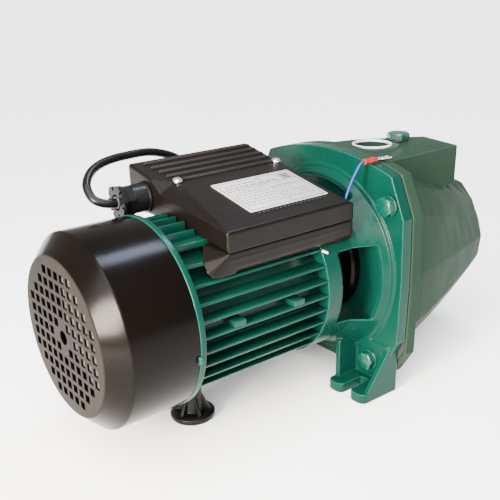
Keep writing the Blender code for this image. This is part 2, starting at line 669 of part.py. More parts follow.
def box_lid():
    front, back = BOX_Y
    outline = [(back, LID_RIM_Z), (back, LID_BACK_Z), (front, lid_z(front)), (front, LID_FRONT_RIM_Z),
               (-20.0, LID_RIM_Z)]
    lid = plate("box_lid", [outline], BOX_X, "X", "box_plastic")
    wall = BOX_WALL
    room = [(back - wall, 150.0), (back - wall, lid_z(back - wall) - wall),
            (front + wall, lid_z(front + wall) - wall), (front + wall, 150.0)]
    cut(lid, plate("cut_lid_room", [room], (BOX_X[0] + wall, BOX_X[1] - wall)),
        rod("cut_gland_hole", 8.3, (BOX_X[0] - 5, GLAND[0], GLAND[1]), 12, sides=24))
    for k, (x, y) in enumerate(LID_SCREWS):
        cut(lid, rod("cut_lid_screw_%d" % k, 2.4, (x, y, lid_z(y) - 10), 20, "Z", sides=16))


def box_base():
    front, back = BOX_Y
    floor = SHAFT_Z + PAD_Z + GAP
    outline = [(back, floor), (back, LID_RIM_Z - GAP), (-20.0, LID_RIM_Z - GAP),
               (front, LID_FRONT_RIM_Z - GAP), (front, 150.0), (-62.0, 145.5), (-44.0, 145.5), (-36.0, floor)]
    base = plate("box_base", [outline], (BOX_X[0] + 0.5, BOX_X[1] - 0.5), "X", "box_plastic")
    cut(base, rod("cut_motor_round", FIN_R + 0.5, (90, 0, SHAFT_Z), 150, sides=96))
    bm = bmesh.new()
    for point in BASE_BULGE:
        bm.verts.new(Vector(point) * MM)
    bmesh.ops.convex_hull(bm, input=bm.verts[:])
    bulge = add_object("join_base_bulge", mesh_from(bm, "join_base_bulge"))
    join(base, bulge)
    base.modifiers[-1].solver = "MANIFOLD"


def lid_screws():
    tilt = math.atan(LID_SLOPE)
    for k, (x, y) in enumerate(LID_SCREWS, 1):
        head = rod("lid_screw_%d" % k, 4.2, (0, 0, 0.4), 2.6, "Z", "zinc_steel", 20)
        head.location = Vector((x, y, lid_z(y) + 0.4)) * MM
        head.rotation_euler.x = tilt
        slot = box("cut_screw_slot_%d" % k, (-5, -0.5, 1.6), (5, 0.5, 4))
        slot.location = Vector((x, y, lid_z(y) + 3.2)) * MM
        slot.rotation_euler = (tilt, 0.0, 0.6)
        join(head, rod("join_screw_stem_%d" % k, 1.9, (x, y, lid_z(y) - 7), 8.5, "Z", sides=12))
        cut(head, slot)


def rating_label():
    y = -19.5
    label = box("rating_label", (138.0, -26.5, 0.0), (217.0, 26.5, 0.4), "label_silver")
    label.location = Vector((177.5, y, lid_z(y) + 0.55)) * MM
    label.rotation_euler.x = math.atan(LID_SLOPE)


def box_contents():
    rod("capacitor", 12.5, (122.0, 47.0, 183.5), 54.0, slot="white_plastic", sides=32)
    box("terminal_block", (184.0, 26.0, LID_RIM_Z + 0.2), (214.0, 46.0, LID_RIM_Z + 12), "white_plastic", 1.0)


def cable_gland():
    y, z = GLAND
    bore = CORD_R + 0.6
    turned("gland_body", [
        (110.0, 8.0), (BOX_X[0] - GAP, 8.0), (BOX_X[0] - GAP, 12.5), (91.0, 12.5), (91.0, 10.5),
        (88.0, 10.5), (88.0, bore), (110.0, bore)], "foot_plastic", "X", (0.0, y, z), 24)
    nut = rod("gland_nut", 14.6, (76.0, y, z), 11.7, slot="foot_plastic", sides=6)
    cut(nut, rod("cut_gland_nut", bore, (70, y, z), 30, sides=24))


# ---------------------------------------------------------------- cords

def power_cord():
    """The cord down to its coil, the coil's outer shape, the tail and the plug beside the coil."""
    y, z = GLAND
    cx, cy = COIL_CENTRE
    edge = COIL_R + COIL_HALF
    route = [(75.7, y, z), (68.5, 46, 184.3), (61.5, 50.5, 187), (59.5, 56, 191.5), (61.5, 63.5, 198),
             (71, 73, 204.3), (87, 81.5, 208.2), (110, 88, 209.4), (140, 92, 207), (170, 97, 195),
             (194, 106, 171), (211, 119, 138),
             (223, 134, 100), (234, 148, 64), (248, 158, 33), (264, 162, 14.5), (281, 154.5, 7.8),
             (cx - COIL_JOIN[0], cy - COIL_JOIN[1], 7.2)]
    tube("power_cord", route, CORD_R, "cord_black", 2)
    turned("cord_coil", [(0.1, COIL_R - COIL_HALF + 2), (0.1, edge - 2), (2.1, edge), (12.3, edge),
                         (14.3, edge - 2), (14.3, COIL_R - COIL_HALF + 2), (12.3, COIL_R - COIL_HALF),
                         (2.1, COIL_R - COIL_HALF)], "cord_black", "Z", (cx, cy, 0.0), 24)
    px, py, pz = PLUG_START
    tail = [(cx + COIL_JOIN[0], cy - COIL_JOIN[1], 10.9), (393, 147.6, 11.5), (403, py - 0.2, 13.2),
            (412, py, 15.2), (px, py, pz)]
    tube("cord_tail", tail, CORD_R, "cord_black", 2)
    plug = turned("mains_plug", [
        (px + END_GAP, 0.0), (px + END_GAP, 5.5), (px + 18, 7.5), (px + 24, 15.0), (px + 44, 15.2),
        (px + 44, 0.0)], "cord_black", "X", (0.0, py, pz), 20)
    for side in (-1, 1):
        join(plug, rod("join_pin_%d" % side, 2.4, (px + 40, py + side * 9.5, pz), 23, sides=12))


def earth_lead():
    x, y, z = TERMINAL
    route = [(230.5, y, z - 27), (233, y, z - 21), (238, y, z - 12), (243.5, y, z - 4.3), (246.5, y, z - 1),
             (x - 2 * GAP, y, z)]
    tube("earth_lead", route, LEAD_R, "lead_blue", 2)
    rod("earth_sleeve", 2.4, TERMINAL, 15.0, slot="sleeve_red", sides=16)
    tag = rod("earth_terminal", 1.4, (x + 15 + GAP, y, z), 8.0, slot="tin", sides=12)
    join(tag, box("join_fork", (x + 21, y - 3, z - 0.5), (x + 31, y + 3, z + 0.5)))


# ---------------------------------------------------------------- build

def build():
    fan_cover()
    rear_end_shield()
    motor_housing()
    stator()
    bearing("bearing_rear", 63.0)
    bearing("bearing_front", 198.7)
    rotor()
    fan()
    rear_foot()
    motor_bracket()
    flange_bolts()
    flinger()
    pump_casing()
    casing_gasket()
    seals()
    impeller()
    hydraulics()
    plugs_and_ring()
    box_lid()
    box_base()
    lid_screws()
    rating_label()
    box_contents()
    cable_gland()
    power_cord()
    earth_lead()


clear_scene()
ROOT = bpy.data.objects.new("pump_root", None)
COL["shallow_well_jet_pump"].objects.link(ROOT)
ROOT.location.x = -MID_X * MM
build()
bpy.context.view_layer.update()
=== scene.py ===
"""Looks of the shallow well jet pump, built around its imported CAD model.

Shapes are drawn in millimetres. x is a station along the shaft, from the fan cover's face towards
the nose, y is sideways and z is up. TO_ROW turns them into the frame's metres.
"""
import math
import random

import bmesh
import bpy
from mathutils import Matrix, Vector


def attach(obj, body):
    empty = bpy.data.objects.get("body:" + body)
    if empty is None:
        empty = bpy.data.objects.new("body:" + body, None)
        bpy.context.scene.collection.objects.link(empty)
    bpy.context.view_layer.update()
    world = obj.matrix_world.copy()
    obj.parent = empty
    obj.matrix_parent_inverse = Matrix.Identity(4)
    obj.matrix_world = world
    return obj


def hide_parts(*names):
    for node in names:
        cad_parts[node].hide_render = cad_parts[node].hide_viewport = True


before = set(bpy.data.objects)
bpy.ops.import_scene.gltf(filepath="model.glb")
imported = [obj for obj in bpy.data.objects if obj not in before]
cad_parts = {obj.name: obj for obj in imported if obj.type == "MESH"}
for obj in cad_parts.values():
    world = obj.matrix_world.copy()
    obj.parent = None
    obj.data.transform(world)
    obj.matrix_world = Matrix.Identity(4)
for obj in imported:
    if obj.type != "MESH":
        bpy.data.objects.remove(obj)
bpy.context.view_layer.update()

MM = 0.001
MID_X = 216.5
TO_ROW = Matrix.Diagonal((MM, MM, MM, 1.0)) @ Matrix.Translation((-MID_X, 0.0, 0.0))
SHAFT_Z = 107.0
AXIS = Vector((0.0, 0.0, SHAFT_Z))
COARSE = 1.0


def row(point):
    return TO_ROW @ Vector(point)


# ---------------------------------------------------------------- outlines

def fillet(points, radius, steps=4):
    """A closed outline with its corners rounded; radius is one number or one for each corner."""
    radii = radius if isinstance(radius, (list, tuple)) else [radius] * len(points)
    result = []
    for i, p in enumerate(points):
        here = Vector(p)
        before = Vector(points[i - 1]) - here
        after = Vector(points[(i + 1) % len(points)]) - here
        size = radii[i]
        if size <= 0 or before.length < 1e-6 or after.length < 1e-6:
            result.append(tuple(here))
            continue
        angle = before.angle(after)
        if angle > math.pi - 0.02:
            result.append(tuple(here))
            continue
        reach = min(size / math.tan(angle / 2), 0.48 * before.length, 0.48 * after.length)
        size = reach * math.tan(angle / 2)
        a, b = before.normalized(), after.normalized()
        middle = here + (a + b).normalized() * (size / math.sin(angle / 2))
        start, end = here + a * reach - middle, here + b * reach - middle
        turn = start.angle_signed(end)
        for k in range(steps + 1):
            step = -turn * k / steps
            c, s = math.cos(step), math.sin(step)
            result.append((middle.x + start.x * c - start.y * s, middle.y + start.x * s + start.y * c))
    return result


def arc(radius, start_deg, end_deg, count, centre):
    turn = [math.radians(start_deg + (end_deg - start_deg) * k / (count - 1)) for k in range(count)]
    return [(centre[0] + radius * math.cos(a), centre[1] + radius * math.sin(a)) for a in turn]


def circle(radius, count, centre):
    return arc(radius, 0.0, 360.0 * (count - 1) / count, count, centre)


def rectangle(x0, y0, x1, y1, radius, steps=4):
    return fillet([(x0, y0), (x1, y0), (x1, y1), (x0, y1)], radius, steps)


def mirrored(half):
    """A whole outline from the y < 0 half of it."""
    return half + [(-y, z) for y, z in reversed(half) if y != 0]


# ---------------------------------------------------------------- solids, as bmeshes in millimetres

def placed(name, data):
    """A new object in the scene."""
    obj = bpy.data.objects.new(name, data)
    bpy.context.scene.collection.objects.link(obj)
    return obj


def mesh_of(name, bm):
    """A mesh made from a bmesh, which is freed."""
    mesh = bpy.data.meshes.new(name)
    bm.to_mesh(mesh)
    bm.free()
    return mesh


def turned_to(place, angle, axis="X"):
    """A turn about an axis, then a move to a place."""
    return Matrix.Translation(place) @ Matrix.Rotation(angle, 4, axis)


def lathe(ring, axis="X", centre=AXIS, steps=96):
    """A closed profile of (station, radius) turned about an axis through the centre."""
    bm = bmesh.new()
    loops = []
    for k in range(steps):
        a = 2 * math.pi * k / steps
        c, s = math.cos(a), math.sin(a)
        spots = {"X": lambda t, r: (t, r * c, r * s), "Y": lambda t, r: (r * s, t, r * c),
                 "Z": lambda t, r: (r * c, r * s, t)}[axis]
        loops.append([bm.verts.new(Vector(spots(t, r)) + Vector(centre)) for t, r in ring])
    size = len(ring)
    for k in range(steps):
        one, two = loops[k], loops[(k + 1) % steps]
        for i in range(size):
            j = (i + 1) % size
            if ring[i][1] > 1e-6 or ring[j][1] > 1e-6:
                bm.faces.new((one[i], one[j], two[j], two[i]))
    bmesh.ops.remove_doubles(bm, verts=bm.verts, dist=1e-5)
    bmesh.ops.recalc_face_normals(bm, faces=bm.faces)
    return bm


PLANES = {
    "X": Matrix(((0, 0, 1), (1, 0, 0), (0, 1, 0))).to_4x4(),
    "Y": Matrix(((1, 0, 0), (0, 0, -1), (0, 1, 0))).to_4x4(),
    "Z": Matrix.Identity(4),
}


def plate(outlines, span, normal="X", edge=0.0, rounds=2):
    """Flat outlines, the later ones being holes, made solid over a span, with rounded edges."""
    curve = bpy.data.curves.new("outline", "CURVE")
    curve.dimensions = "2D"
    curve.fill_mode = "BOTH"
    curve.extrude = (span[1] - span[0]) / 2 - edge
    curve.bevel_depth = edge
    curve.bevel_resolution = rounds
    curve.offset = -edge
    for outline in outlines:
        spline = curve.splines.new("POLY")
        spline.points.add(len(outline) - 1)
        for point, (u, v) in zip(spline.points, outline):
            point.co = (u, v, 0.0, 1.0)
        spline.use_cyclic_u = True
    middle = (span[0] + span[1]) / 2
    shift = {"X": (middle, 0, 0), "Y": (0, middle, 0), "Z": (0, 0, middle)}[normal]
    bm = bmesh_of(placed("outline", curve))
    bmesh.ops.remove_doubles(bm, verts=bm.verts, dist=1e-4)
    bmesh.ops.transform(bm, matrix=Matrix.Translation(shift) @ PLANES[normal], verts=bm.verts)
    bmesh.ops.recalc_face_normals(bm, faces=bm.faces)
    return bm


def bmesh_of(obj):
    """The evaluated object as a bmesh; the object itself is removed."""
    bpy.context.view_layer.update()
    mesh = bpy.data.meshes.new_from_object(obj.evaluated_get(bpy.context.evaluated_depsgraph_get()))
    bm = bmesh.new()
    bm.from_mesh(mesh)
    bpy.data.objects.remove(obj, do_unlink=True)
    bpy.data.meshes.remove(mesh)
    return bm


def block(lo, hi, edge=0.0):
    """A box between two corners, with its edges rounded if edge is given."""
    bm = bmesh.new()
    size = [b - a for a, b in zip(lo, hi)]
    middle = [(a + b) / 2 for a, b in zip(lo, hi)]
    bmesh.ops.create_cube(bm, size=1.0, matrix=Matrix.Translation(middle) @ Matrix.Diagonal((*size, 1.0)))
    if edge:
        bmesh.ops.bevel(bm, geom=bm.edges[:], offset=edge, segments=2, profile=0.5, affect="EDGES")
    return bm


def rod(radius, start, length, axis="X", edge=0.0, steps=48):
    """A round bar from a start point, with its end edges rounded if edge is given."""
    ring = [(0.0, 0.0), (0.0, radius), (length, radius), (length, 0.0)]
    if edge:
        ring = fillet(ring, [0, edge, edge, 0], 3)
    return lathe(ring, axis, start, steps)


def hexagon(across, start, height, axis, chamfer, turn=0.0):
    """A hexagonal head whose top corners are cut by a cone, as a turned bolt head's are."""
    bm = bmesh.new()
    steps, levels, cone_slope = 72, 5, 1.7
    half = across / 2
    loops = []
    heights = [0.0] + [height - chamfer + chamfer * k / levels for k in range(levels + 1)]
    for h in heights:
        below = max(0.0, h - (height - chamfer))
        cone = half / math.cos(math.pi / 6) - below * cone_slope
        loop = []
        for k in range(steps):
            a = 2 * math.pi * k / steps
            flat = (a + turn) % (math.pi / 3) - math.pi / 6
            r = min(half / math.cos(flat), cone)
            spot = {"X": (h, r * math.cos(a), r * math.sin(a)), "Z": (r * math.cos(a), r * math.sin(a), h)}
            loop.append(bm.verts.new(Vector(spot[axis]) + Vector(start)))
        loops.append(loop)
    for one, two in zip(loops, loops[1:]):
        for k in range(steps):
            bm.faces.new((one[k], one[(k + 1) % steps], two[(k + 1) % steps], two[k]))
    bm.faces.new(loops[0])
    bm.faces.new(loops[-1])
    bmesh.ops.recalc_face_normals(bm, faces=bm.faces)
    return bm


def add(bm, *others):
    """Other bmeshes' faces joined into the first one."""
    for other in others:
        mesh = mesh_of("part", other)
        bm.from_mesh(mesh)
        bpy.data.meshes.remove(mesh)
    return bm


def turned_by(bm, matrix):
    """The same bmesh, moved and turned."""
    bmesh.ops.transform(bm, matrix=matrix, verts=bm.verts)
    return bm


def carved(base, joins, cuts):
    """A union of solids with others cut out of it."""
    body = placed("temporary", mesh_of("temporary", base))
    helpers = []
    for operation, group in (("UNION", joins), ("DIFFERENCE", cuts)):
        for other in group:
            helper = placed("temporary", mesh_of("temporary", other))
            helpers.append(helper)
            mod = body.modifiers.new(operation, "BOOLEAN")
            mod.operation = operation
            mod.solver = "EXACT"
            mod.object = helper
    result = bmesh_of(body)
    for helper in helpers:
        bpy.data.objects.remove(helper, do_unlink=True)
    return result


def cast(bm, voxel, rounds):
    """A solid remade at an even grain with its corners worn round, as sand casting leaves them."""
    body = placed("temporary", mesh_of("temporary", bm))
    grain = body.modifiers.new("grain", "REMESH")
    grain.mode = "VOXEL"
    grain.voxel_size = voxel * COARSE
    soften = body.modifiers.new("soften", "SMOOTH")
    soften.factor = 0.5
    soften.iterations = rounds
    return bmesh_of(body)


def piece(name, bm, paint, replaces=(), body="pump", sharp=32):
    """A finished piece that rides on its body; edges sharper than so many degrees stay crisp."""
    mesh = mesh_of(name, turned_by(bm, TO_ROW))
    mesh.shade_smooth()
    if sharp:
        mesh.set_sharp_from_angle(angle=math.radians(sharp))
    mesh.materials.append(FINISH[paint])
    obj = placed(name, mesh)
    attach(obj, body)
    if replaces:
        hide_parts(*replaces)
    return obj


# ---------------------------------------------------------------- materials

NOISE_SPAN = (0.3, 0.7)
EDGE_HIGHLIGHT_SPAN = (0.53, 0.60)


def finish(name, colour, rough, vary, patch, metal=0.0, grain=None, waves=None, rough_range=0.06,
           specular=0.5, edge=None):
    """A procedural finish: patches that vary in tone, uneven gloss, fine grain and slow waves.

    grain and waves are (times per metre, depth in metres) of two layers of bump; edge is a painted
    highlight colour laid over sharp edges, as if light caught them.
    """
    mat = bpy.data.materials.new(name)
    mat.use_nodes = True
    nodes, links = mat.node_tree.nodes, mat.node_tree.links
    shader = nodes["Principled BSDF"]
    place = nodes.new("ShaderNodeTexCoord")
    shader.inputs["Metallic"].default_value = metal
    shader.inputs["Specular IOR Level"].default_value = specular

    def noise(scale, detail):
        node = nodes.new("ShaderNodeTexNoise")
        node.inputs["Scale"].default_value = scale
        node.inputs["Detail"].default_value = detail
        links.new(place.outputs["Object"], node.inputs["Vector"])
        return node.outputs["Fac"]

    def mapped(value, span):
        node = nodes.new("ShaderNodeMapRange")
        node.inputs["From Min"].default_value, node.inputs["From Max"].default_value = span
        links.new(value, node.inputs["Value"])
        return node

    cloud = noise(patch, 4.0)
    ramp = nodes.new("ShaderNodeValToRGB")
    for stop, position, tone in zip(ramp.color_ramp.elements, NOISE_SPAN, (1.0 - vary, 1.0 + vary)):
        stop.position = position
        stop.color = (*[c * tone for c in colour], 1.0)
    links.new(cloud, ramp.inputs["Fac"])
    coloured = ramp.outputs["Color"]
    # Painted highlight: sharp edges, found by pointiness, are lightened towards the edge colour.
    if edge:
        shape = nodes.new("ShaderNodeNewGeometry")
        highlight_mask = mapped(shape.outputs["Pointiness"], EDGE_HIGHLIGHT_SPAN)
        mix = nodes.new("ShaderNodeMixRGB")
        mix.inputs["Color2"].default_value = (*edge, 1.0)
        links.new(highlight_mask.outputs["Result"], mix.inputs["Fac"])
        links.new(coloured, mix.inputs["Color1"])
        coloured = mix.outputs["Color"]
    links.new(coloured, shader.inputs["Base Color"])

    gloss = mapped(noise(patch * 2.7, 5.0), NOISE_SPAN)
    gloss.inputs["To Min"].default_value = max(0.02, rough - rough_range)
    gloss.inputs["To Max"].default_value = min(1.0, rough + rough_range)
    links.new(gloss.outputs["Result"], shader.inputs["Roughness"])

    normal = None
    for layer in (waves, grain):
        if layer is None:
            continue
        scale, depth = layer
        height = noise(scale, 3.0)
        bump = nodes.new("ShaderNodeBump")
        bump.inputs["Strength"].default_value = 1.0
        bump.inputs["Distance"].default_value = depth
        links.new(height, bump.inputs["Height"])
        if normal:
            links.new(normal.outputs["Normal"], bump.inputs["Normal"])
        normal = bump
    if normal:
        links.new(normal.outputs["Normal"], shader.inputs["Normal"])
    return mat


# Each edge colour below is a painted highlight on sharp edges.
LOOKS = {
    # A darker copy of the bracket's green paint: painted shade for the fins under the terminal box.
    "enamel_green": dict(colour=(0.0006, 0.0140, 0.0092), rough=0.25, vary=0.10, patch=18,
                         grain=(700, 0.00005), waves=(120, 0.00022), specular=0.16,
                         edge=(0.003, 0.040, 0.027)),
    "bracket_green": dict(colour=(0.0010, 0.0235, 0.0160), rough=0.24, vary=0.12, patch=16,
                          grain=(650, 0.00006), waves=(110, 0.00030), specular=0.10,
                          edge=(0.020, 0.14, 0.10)),
    "bolt_green": dict(colour=(0.0012, 0.034, 0.0235), rough=0.22, vary=0.12, patch=60,
                       grain=(900, 0.00004)),
    "casing_green": dict(colour=(0.0125, 0.0255, 0.0160), rough=0.40, vary=0.10, patch=14,
                         grain=(900, 0.00007), waves=(160, 0.00018), specular=0.012,
                         edge=(0.045, 0.085, 0.058)),
    "gloss_black": dict(colour=(0.0018, 0.0013, 0.0010), rough=0.20, vary=0.15, patch=9,
                        grain=(1500, 0.000004), waves=(24, 0.00020), rough_range=0.03, specular=0.06),
    # The cover's own black paint, made lighter and browner with little gloss for the grille face: a painted
    # reflection.
    "grille_face_painted_reflection": dict(colour=(0.0080, 0.0062, 0.0050), rough=0.22, vary=0.2, patch=12,
                         grain=(1500, 0.000006), waves=(30, 0.00020), specular=0.012),
    "box_plastic": dict(colour=(0.0028, 0.0021, 0.0016), rough=0.34, vary=0.10, patch=22,
                        grain=(1700, 0.00006), waves=(60, 0.00012), specular=0.10,
                        edge=(0.022, 0.019, 0.018)),
    "foot_plastic": dict(colour=(0.0030, 0.0030, 0.0032), rough=0.32, vary=0.12, patch=40,
                         grain=(1500, 0.00003), specular=0.15),
    "label_silver": dict(colour=(0.36, 0.34, 0.34), rough=0.40, metal=0.1, vary=0.05, patch=25,
                         grain=(2500, 0.000008)),
    "zinc_steel": dict(colour=(0.72, 0.71, 0.68), rough=0.22, metal=1.0, vary=0.10, patch=120,
                       grain=(1800, 0.00001)),
    "shaft_steel": dict(colour=(0.50, 0.50, 0.51), rough=0.26, metal=1.0, vary=0.08, patch=90,
                        grain=(2200, 0.00001)),
    "lamination": dict(colour=(0.16, 0.16, 0.17), rough=0.52, metal=0.8, vary=0.15, patch=60,
                       grain=(2000, 0.00003)),
    "copper_enamel": dict(colour=(0.42, 0.14, 0.045), rough=0.36, metal=0.6, vary=0.2, patch=150,
                          grain=(900, 0.0002)),
    "brass": dict(colour=(0.70, 0.47, 0.18), rough=0.28, metal=1.0, vary=0.1, patch=90,
                  grain=(1500, 0.00002)),
    "noryl": dict(colour=(0.16, 0.155, 0.15), rough=0.42, vary=0.1, patch=60, grain=(1500, 0.00003)),
    "rubber": dict(colour=(0.014, 0.013, 0.013), rough=0.72, vary=0.15, patch=60, grain=(1600, 0.00006)),
    "ceramic": dict(colour=(0.74, 0.72, 0.67), rough=0.25, vary=0.04, patch=80, grain=(2500, 0.00001)),
    "white_plastic": dict(colour=(0.50, 0.54, 0.52), rough=0.32, vary=0.05, patch=70, grain=(1500, 0.00003)),
    "cord_black": dict(colour=(0.0022, 0.0022, 0.0026), rough=0.30, vary=0.15, patch=60,
                       grain=(1300, 0.00002), specular=0.14),
    "lead_blue": dict(colour=(0.001, 0.018, 0.125), rough=0.30, vary=0.10, patch=200, grain=(2500, 0.00002)),
    "sleeve_red": dict(colour=(0.22, 0.0015, 0.006), rough=0.28, vary=0.10, patch=200,
                       grain=(2500, 0.00002), waves=(500, 0.0002)),
    "tin": dict(colour=(0.74, 0.73, 0.70), rough=0.20, metal=1.0, vary=0.1, patch=300,
                grain=(2500, 0.00001)),
    "label_ink": dict(colour=(0.012, 0.012, 0.014), rough=0.45, vary=0.1, patch=200, grain=(2500, 0.000005)),
    # Near-black for the inside of the discharge port: painted shade deep in the bore.
    "bore_painted_shade": dict(colour=(0.004, 0.005, 0.004), rough=0.55, vary=0.2, patch=60, grain=(1500, 0.00008),
                      specular=0.2),
    "paint_chip": dict(colour=(0.78, 0.80, 0.78), rough=0.35, metal=0.3, vary=0.1, patch=400,
                       grain=(1500, 0.0001)),
}
FINISH = {name: finish(name, **look) for name, look in LOOKS.items()}


# ---------------------------------------------------------------- camera, light, floor

CAMERA_AT = Vector((-0.4103, -0.4782, 0.3449))
CAMERA_RIGHT, CAMERA_AHEAD = Vector((0.7780, -0.6280, -0.0190)), Vector((0.5705, 0.7188, -0.3974))


def camera():
    data = bpy.data.cameras.new("camera")
    data.lens = 54.5
    data.sensor_width = 36.0
    data.shift_x = -0.027
    data.shift_y = 0.108
    data.clip_start, data.clip_end = 0.02, 20.0
    obj = placed("camera", data)
    right = CAMERA_RIGHT.normalized()
    ahead = (CAMERA_AHEAD - right * CAMERA_AHEAD.dot(right)).normalized()
    up = right.cross(ahead)
    turn = Matrix((right, up, -ahead)).transposed().to_4x4()
    obj.matrix_world = Matrix.Translation(CAMERA_AT) @ turn
    bpy.context.scene.camera = obj


def area_light(name, place, aim, size, power, colour):
    data = bpy.data.lights.new(name, "AREA")
    data.shape = "RECTANGLE"
    data.size, data.size_y = size
    data.energy = power
    data.color = colour
    obj = placed(name, data)
    obj.location = place
    obj.rotation_mode = "QUATERNION"
    obj.rotation_quaternion = (Vector(aim) - Vector(place)).to_track_quat("-Z", "Y")


def sun_light(name, towards, power, spread_deg, colour):
    """A broad even sky of light; towards is the direction that it shines in."""
    data = bpy.data.lights.new(name, "SUN")
    data.energy = power
    data.angle = math.radians(spread_deg)
    data.color = colour
    obj = placed(name, data)
    obj.rotation_mode = "QUATERNION"
    obj.rotation_quaternion = Vector(towards).to_track_quat("-Z", "Y")


def studio():
    world = bpy.data.worlds.new("studio")
    bpy.context.scene.world = world
    world.use_nodes = True
    background = world.node_tree.nodes["Background"]
    background.inputs["Color"].default_value = (1.0, 0.985, 0.96, 1.0)
    background.inputs["Strength"].default_value = 0.75
    sun_light("sky", (0.50, 0.42, -0.76), 14.0, 70.0, (1.0, 0.995, 0.985))
    area_light("window", (0.27, 0.08, 1.05), (-0.17, -0.04, 0.17), (0.20, 0.34), 12.0, (0.66, 0.76, 1.0))
    area_light("warm", (-0.84, -0.26, 0.30), (-0.2, -0.06, 0.14), (0.20, 0.30), 50.0, (1.0, 0.89, 0.74))
    bm = bmesh.new()
    bmesh.ops.create_grid(bm, x_segments=8, y_segments=8, size=60.0)
    floor = placed("floor", mesh_of("floor", bm))
    floor.location.z = -0.0004
    matt = finish("floor", (0.93, 0.93, 0.925), 0.75, vary=0.01, patch=3.0, specular=0.1)
    floor.data.materials.append(matt)


# ---------------------------------------------------------------- cords

GLAND = (45.0, 184.0)
CORD_R = 3.5
COIL_CENTRE = (340.0, 168.0)
COIL_OUTER, COIL_INNER = 41.6, 34.4
COIL_LOW, COIL_HIGH = 4.4, 11.5
PLUG_START = (419.2, 151.0, 15.5)
LEAD_R = 1.2
TERMINAL = (250.0, -53.5, 204.9)


def smooth_route(points, step):
    """Points about a step apart on a Catmull-Rom curve through the given points."""
    points = [Vector(p) for p in points]
    ends = [2 * points[0] - points[1]] + points + [2 * points[-1] - points[-2]]
    fine = []
    for p0, p1, p2, p3 in zip(ends, ends[1:], ends[2:], ends[3:]):
        for k in range(20):
            t = k / 20
            fine.append(0.5 * (2 * p1 + (p2 - p0) * t + (2 * p0 - 5 * p1 + 4 * p2 - p3) * t * t
                               + (3 * p1 - p0 - 3 * p2 + p3) * t ** 3))
    fine.append(points[-1])
    length = sum((b - a).length for a, b in zip(fine, fine[1:]))
    count = max(2, round(length / step))
    route, walked = [fine[0]], 0.0
    for a, b in zip(fine, fine[1:]):
        walked += (b - a).length
        if walked >= length * len(route) / count and len(route) < count:
            route.append(b)
    return route + [points[-1]]


def cord_curve(name, route, radius, paint, replaces, resolution):
    """A round cord along a route, as a curve that rides on the pump."""
    curve = bpy.data.curves.new(name, "CURVE")
    curve.dimensions = "3D"
    curve.bevel_depth = radius * MM
    curve.bevel_resolution = resolution
    curve.use_fill_caps = True
    spline = curve.splines.new("POLY")
    spline.points.add(len(route) - 1)
    for point, place in zip(spline.points, route):
        point.co = (*row(place), 1.0)
    spline.use_smooth = True
    curve.materials.append(FINISH[paint])
    obj = placed(name, curve)
    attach(obj, "pump")
    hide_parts(*replaces)
    return obj


def ease(value, start, end):
    """A smooth step from 0 to 1 between start and end."""
    t = min(max((value - start) / (end - start), 0.0), 1.0)
    return t * t * (3 - 2 * t)


def coil_turns():
    """The coil from its low outer turn, through the inner ones, to the top outer turn."""
    cx, cy = COIL_CENTRE
    entry = 50.9
    turns = []
    # Each ease moves the cord to the next radius or height over a span of degrees.
    for degree in range(-144, 1046, 8):
        radius = entry + (COIL_OUTER - entry) * ease(degree, -149, -100)
        radius += (COIL_INNER - COIL_OUTER) * ease(degree, 220, 260)
        radius += (COIL_OUTER - COIL_INNER) * ease(degree, 900, 940)
        radius += (entry - COIL_OUTER) * ease(degree, 1000, 1049)
        height = COIL_LOW + (COIL_HIGH - COIL_LOW) * ease(degree, 560, 600)
        angle = math.radians(degree)
        turns.append((cx + radius * math.cos(angle), cy + radius * math.sin(angle), height))
    return turns


def power_cord():
    y, z = GLAND
    px, py, pz = PLUG_START
    route = [(75.7, y, z), (68.5, 46, 184.3), (61.5, 50.5, 187), (59.5, 56, 191.5), (61.5, 63.5, 198),
             (71, 73, 204.3), (87, 81.5, 208.0), (110, 88, 208.9), (140, 92, 207), (170, 97, 195),
             (194, 106, 171), (211, 119, 138), (223, 134, 100), (234, 148, 64), (248, 158, 33),
             (264, 162, 14.5), (281, 154.5, 7.8)]
    route += coil_turns()
    route += [(393, 147.6, 11.9), (403, py - 0.2, 13.2), (412, py, 15.2), (px, py, pz)]
    line = smooth_route(route, 3.0)
    cord = cord_curve("power_cord_lay", line, CORD_R, "cord_black",
                      ["power_cord", "cord_coil", "cord_tail"], 6)
    plug = mains_plug()
    tie = coil_tie()


def mains_plug():
    """A moulded two-pin plug with a ribbed strain relief and two ridges on top."""
    px, py, pz = PLUG_START
    ring = [(1.2, 0.0), (1.2, 4.6), (4.0, 5.2)]
    for k in range(5):
        x = 4.0 + 2.6 * k
        ring += [(x + 1.4, 5.4 + 0.36 * k), (x + 1.5, 4.5 + 0.36 * k), (x + 2.5, 4.6 + 0.36 * k),
                 (x + 2.6, 5.6 + 0.36 * k)]
    ring += [(19.0, 9.0), (23.0, 14.2), (26.0, 15.1), (43.2, 15.1), (44.0, 14.4), (44.0, 0.0)]
    shell = lathe(ring, "X", PLUG_START, 64)
    for side in (-1, 1):
        y = py + side * 6
        add(shell, block((px + 27, y - 2.5, pz + 13.2), (px + 41, y + 2.5, pz + 14.9), 0.6))
    plug = piece("mains_plug_body", shell, "cord_black", ["mains_plug"], sharp=28)
    pin_ring = fillet([(44.0, 0.0), (44.0, 2.35), (63.0, 2.35), (63.0, 0.0)], [0, 0, 1.6, 0], 4)
    pins = bmesh.new()
    for side in (-1, 1):
        add(pins, lathe(pin_ring, "X", (px, py + side * 9.5, pz), 32))
    piece("mains_plug_pins", pins, "zinc_steel").parent = plug
    return plug


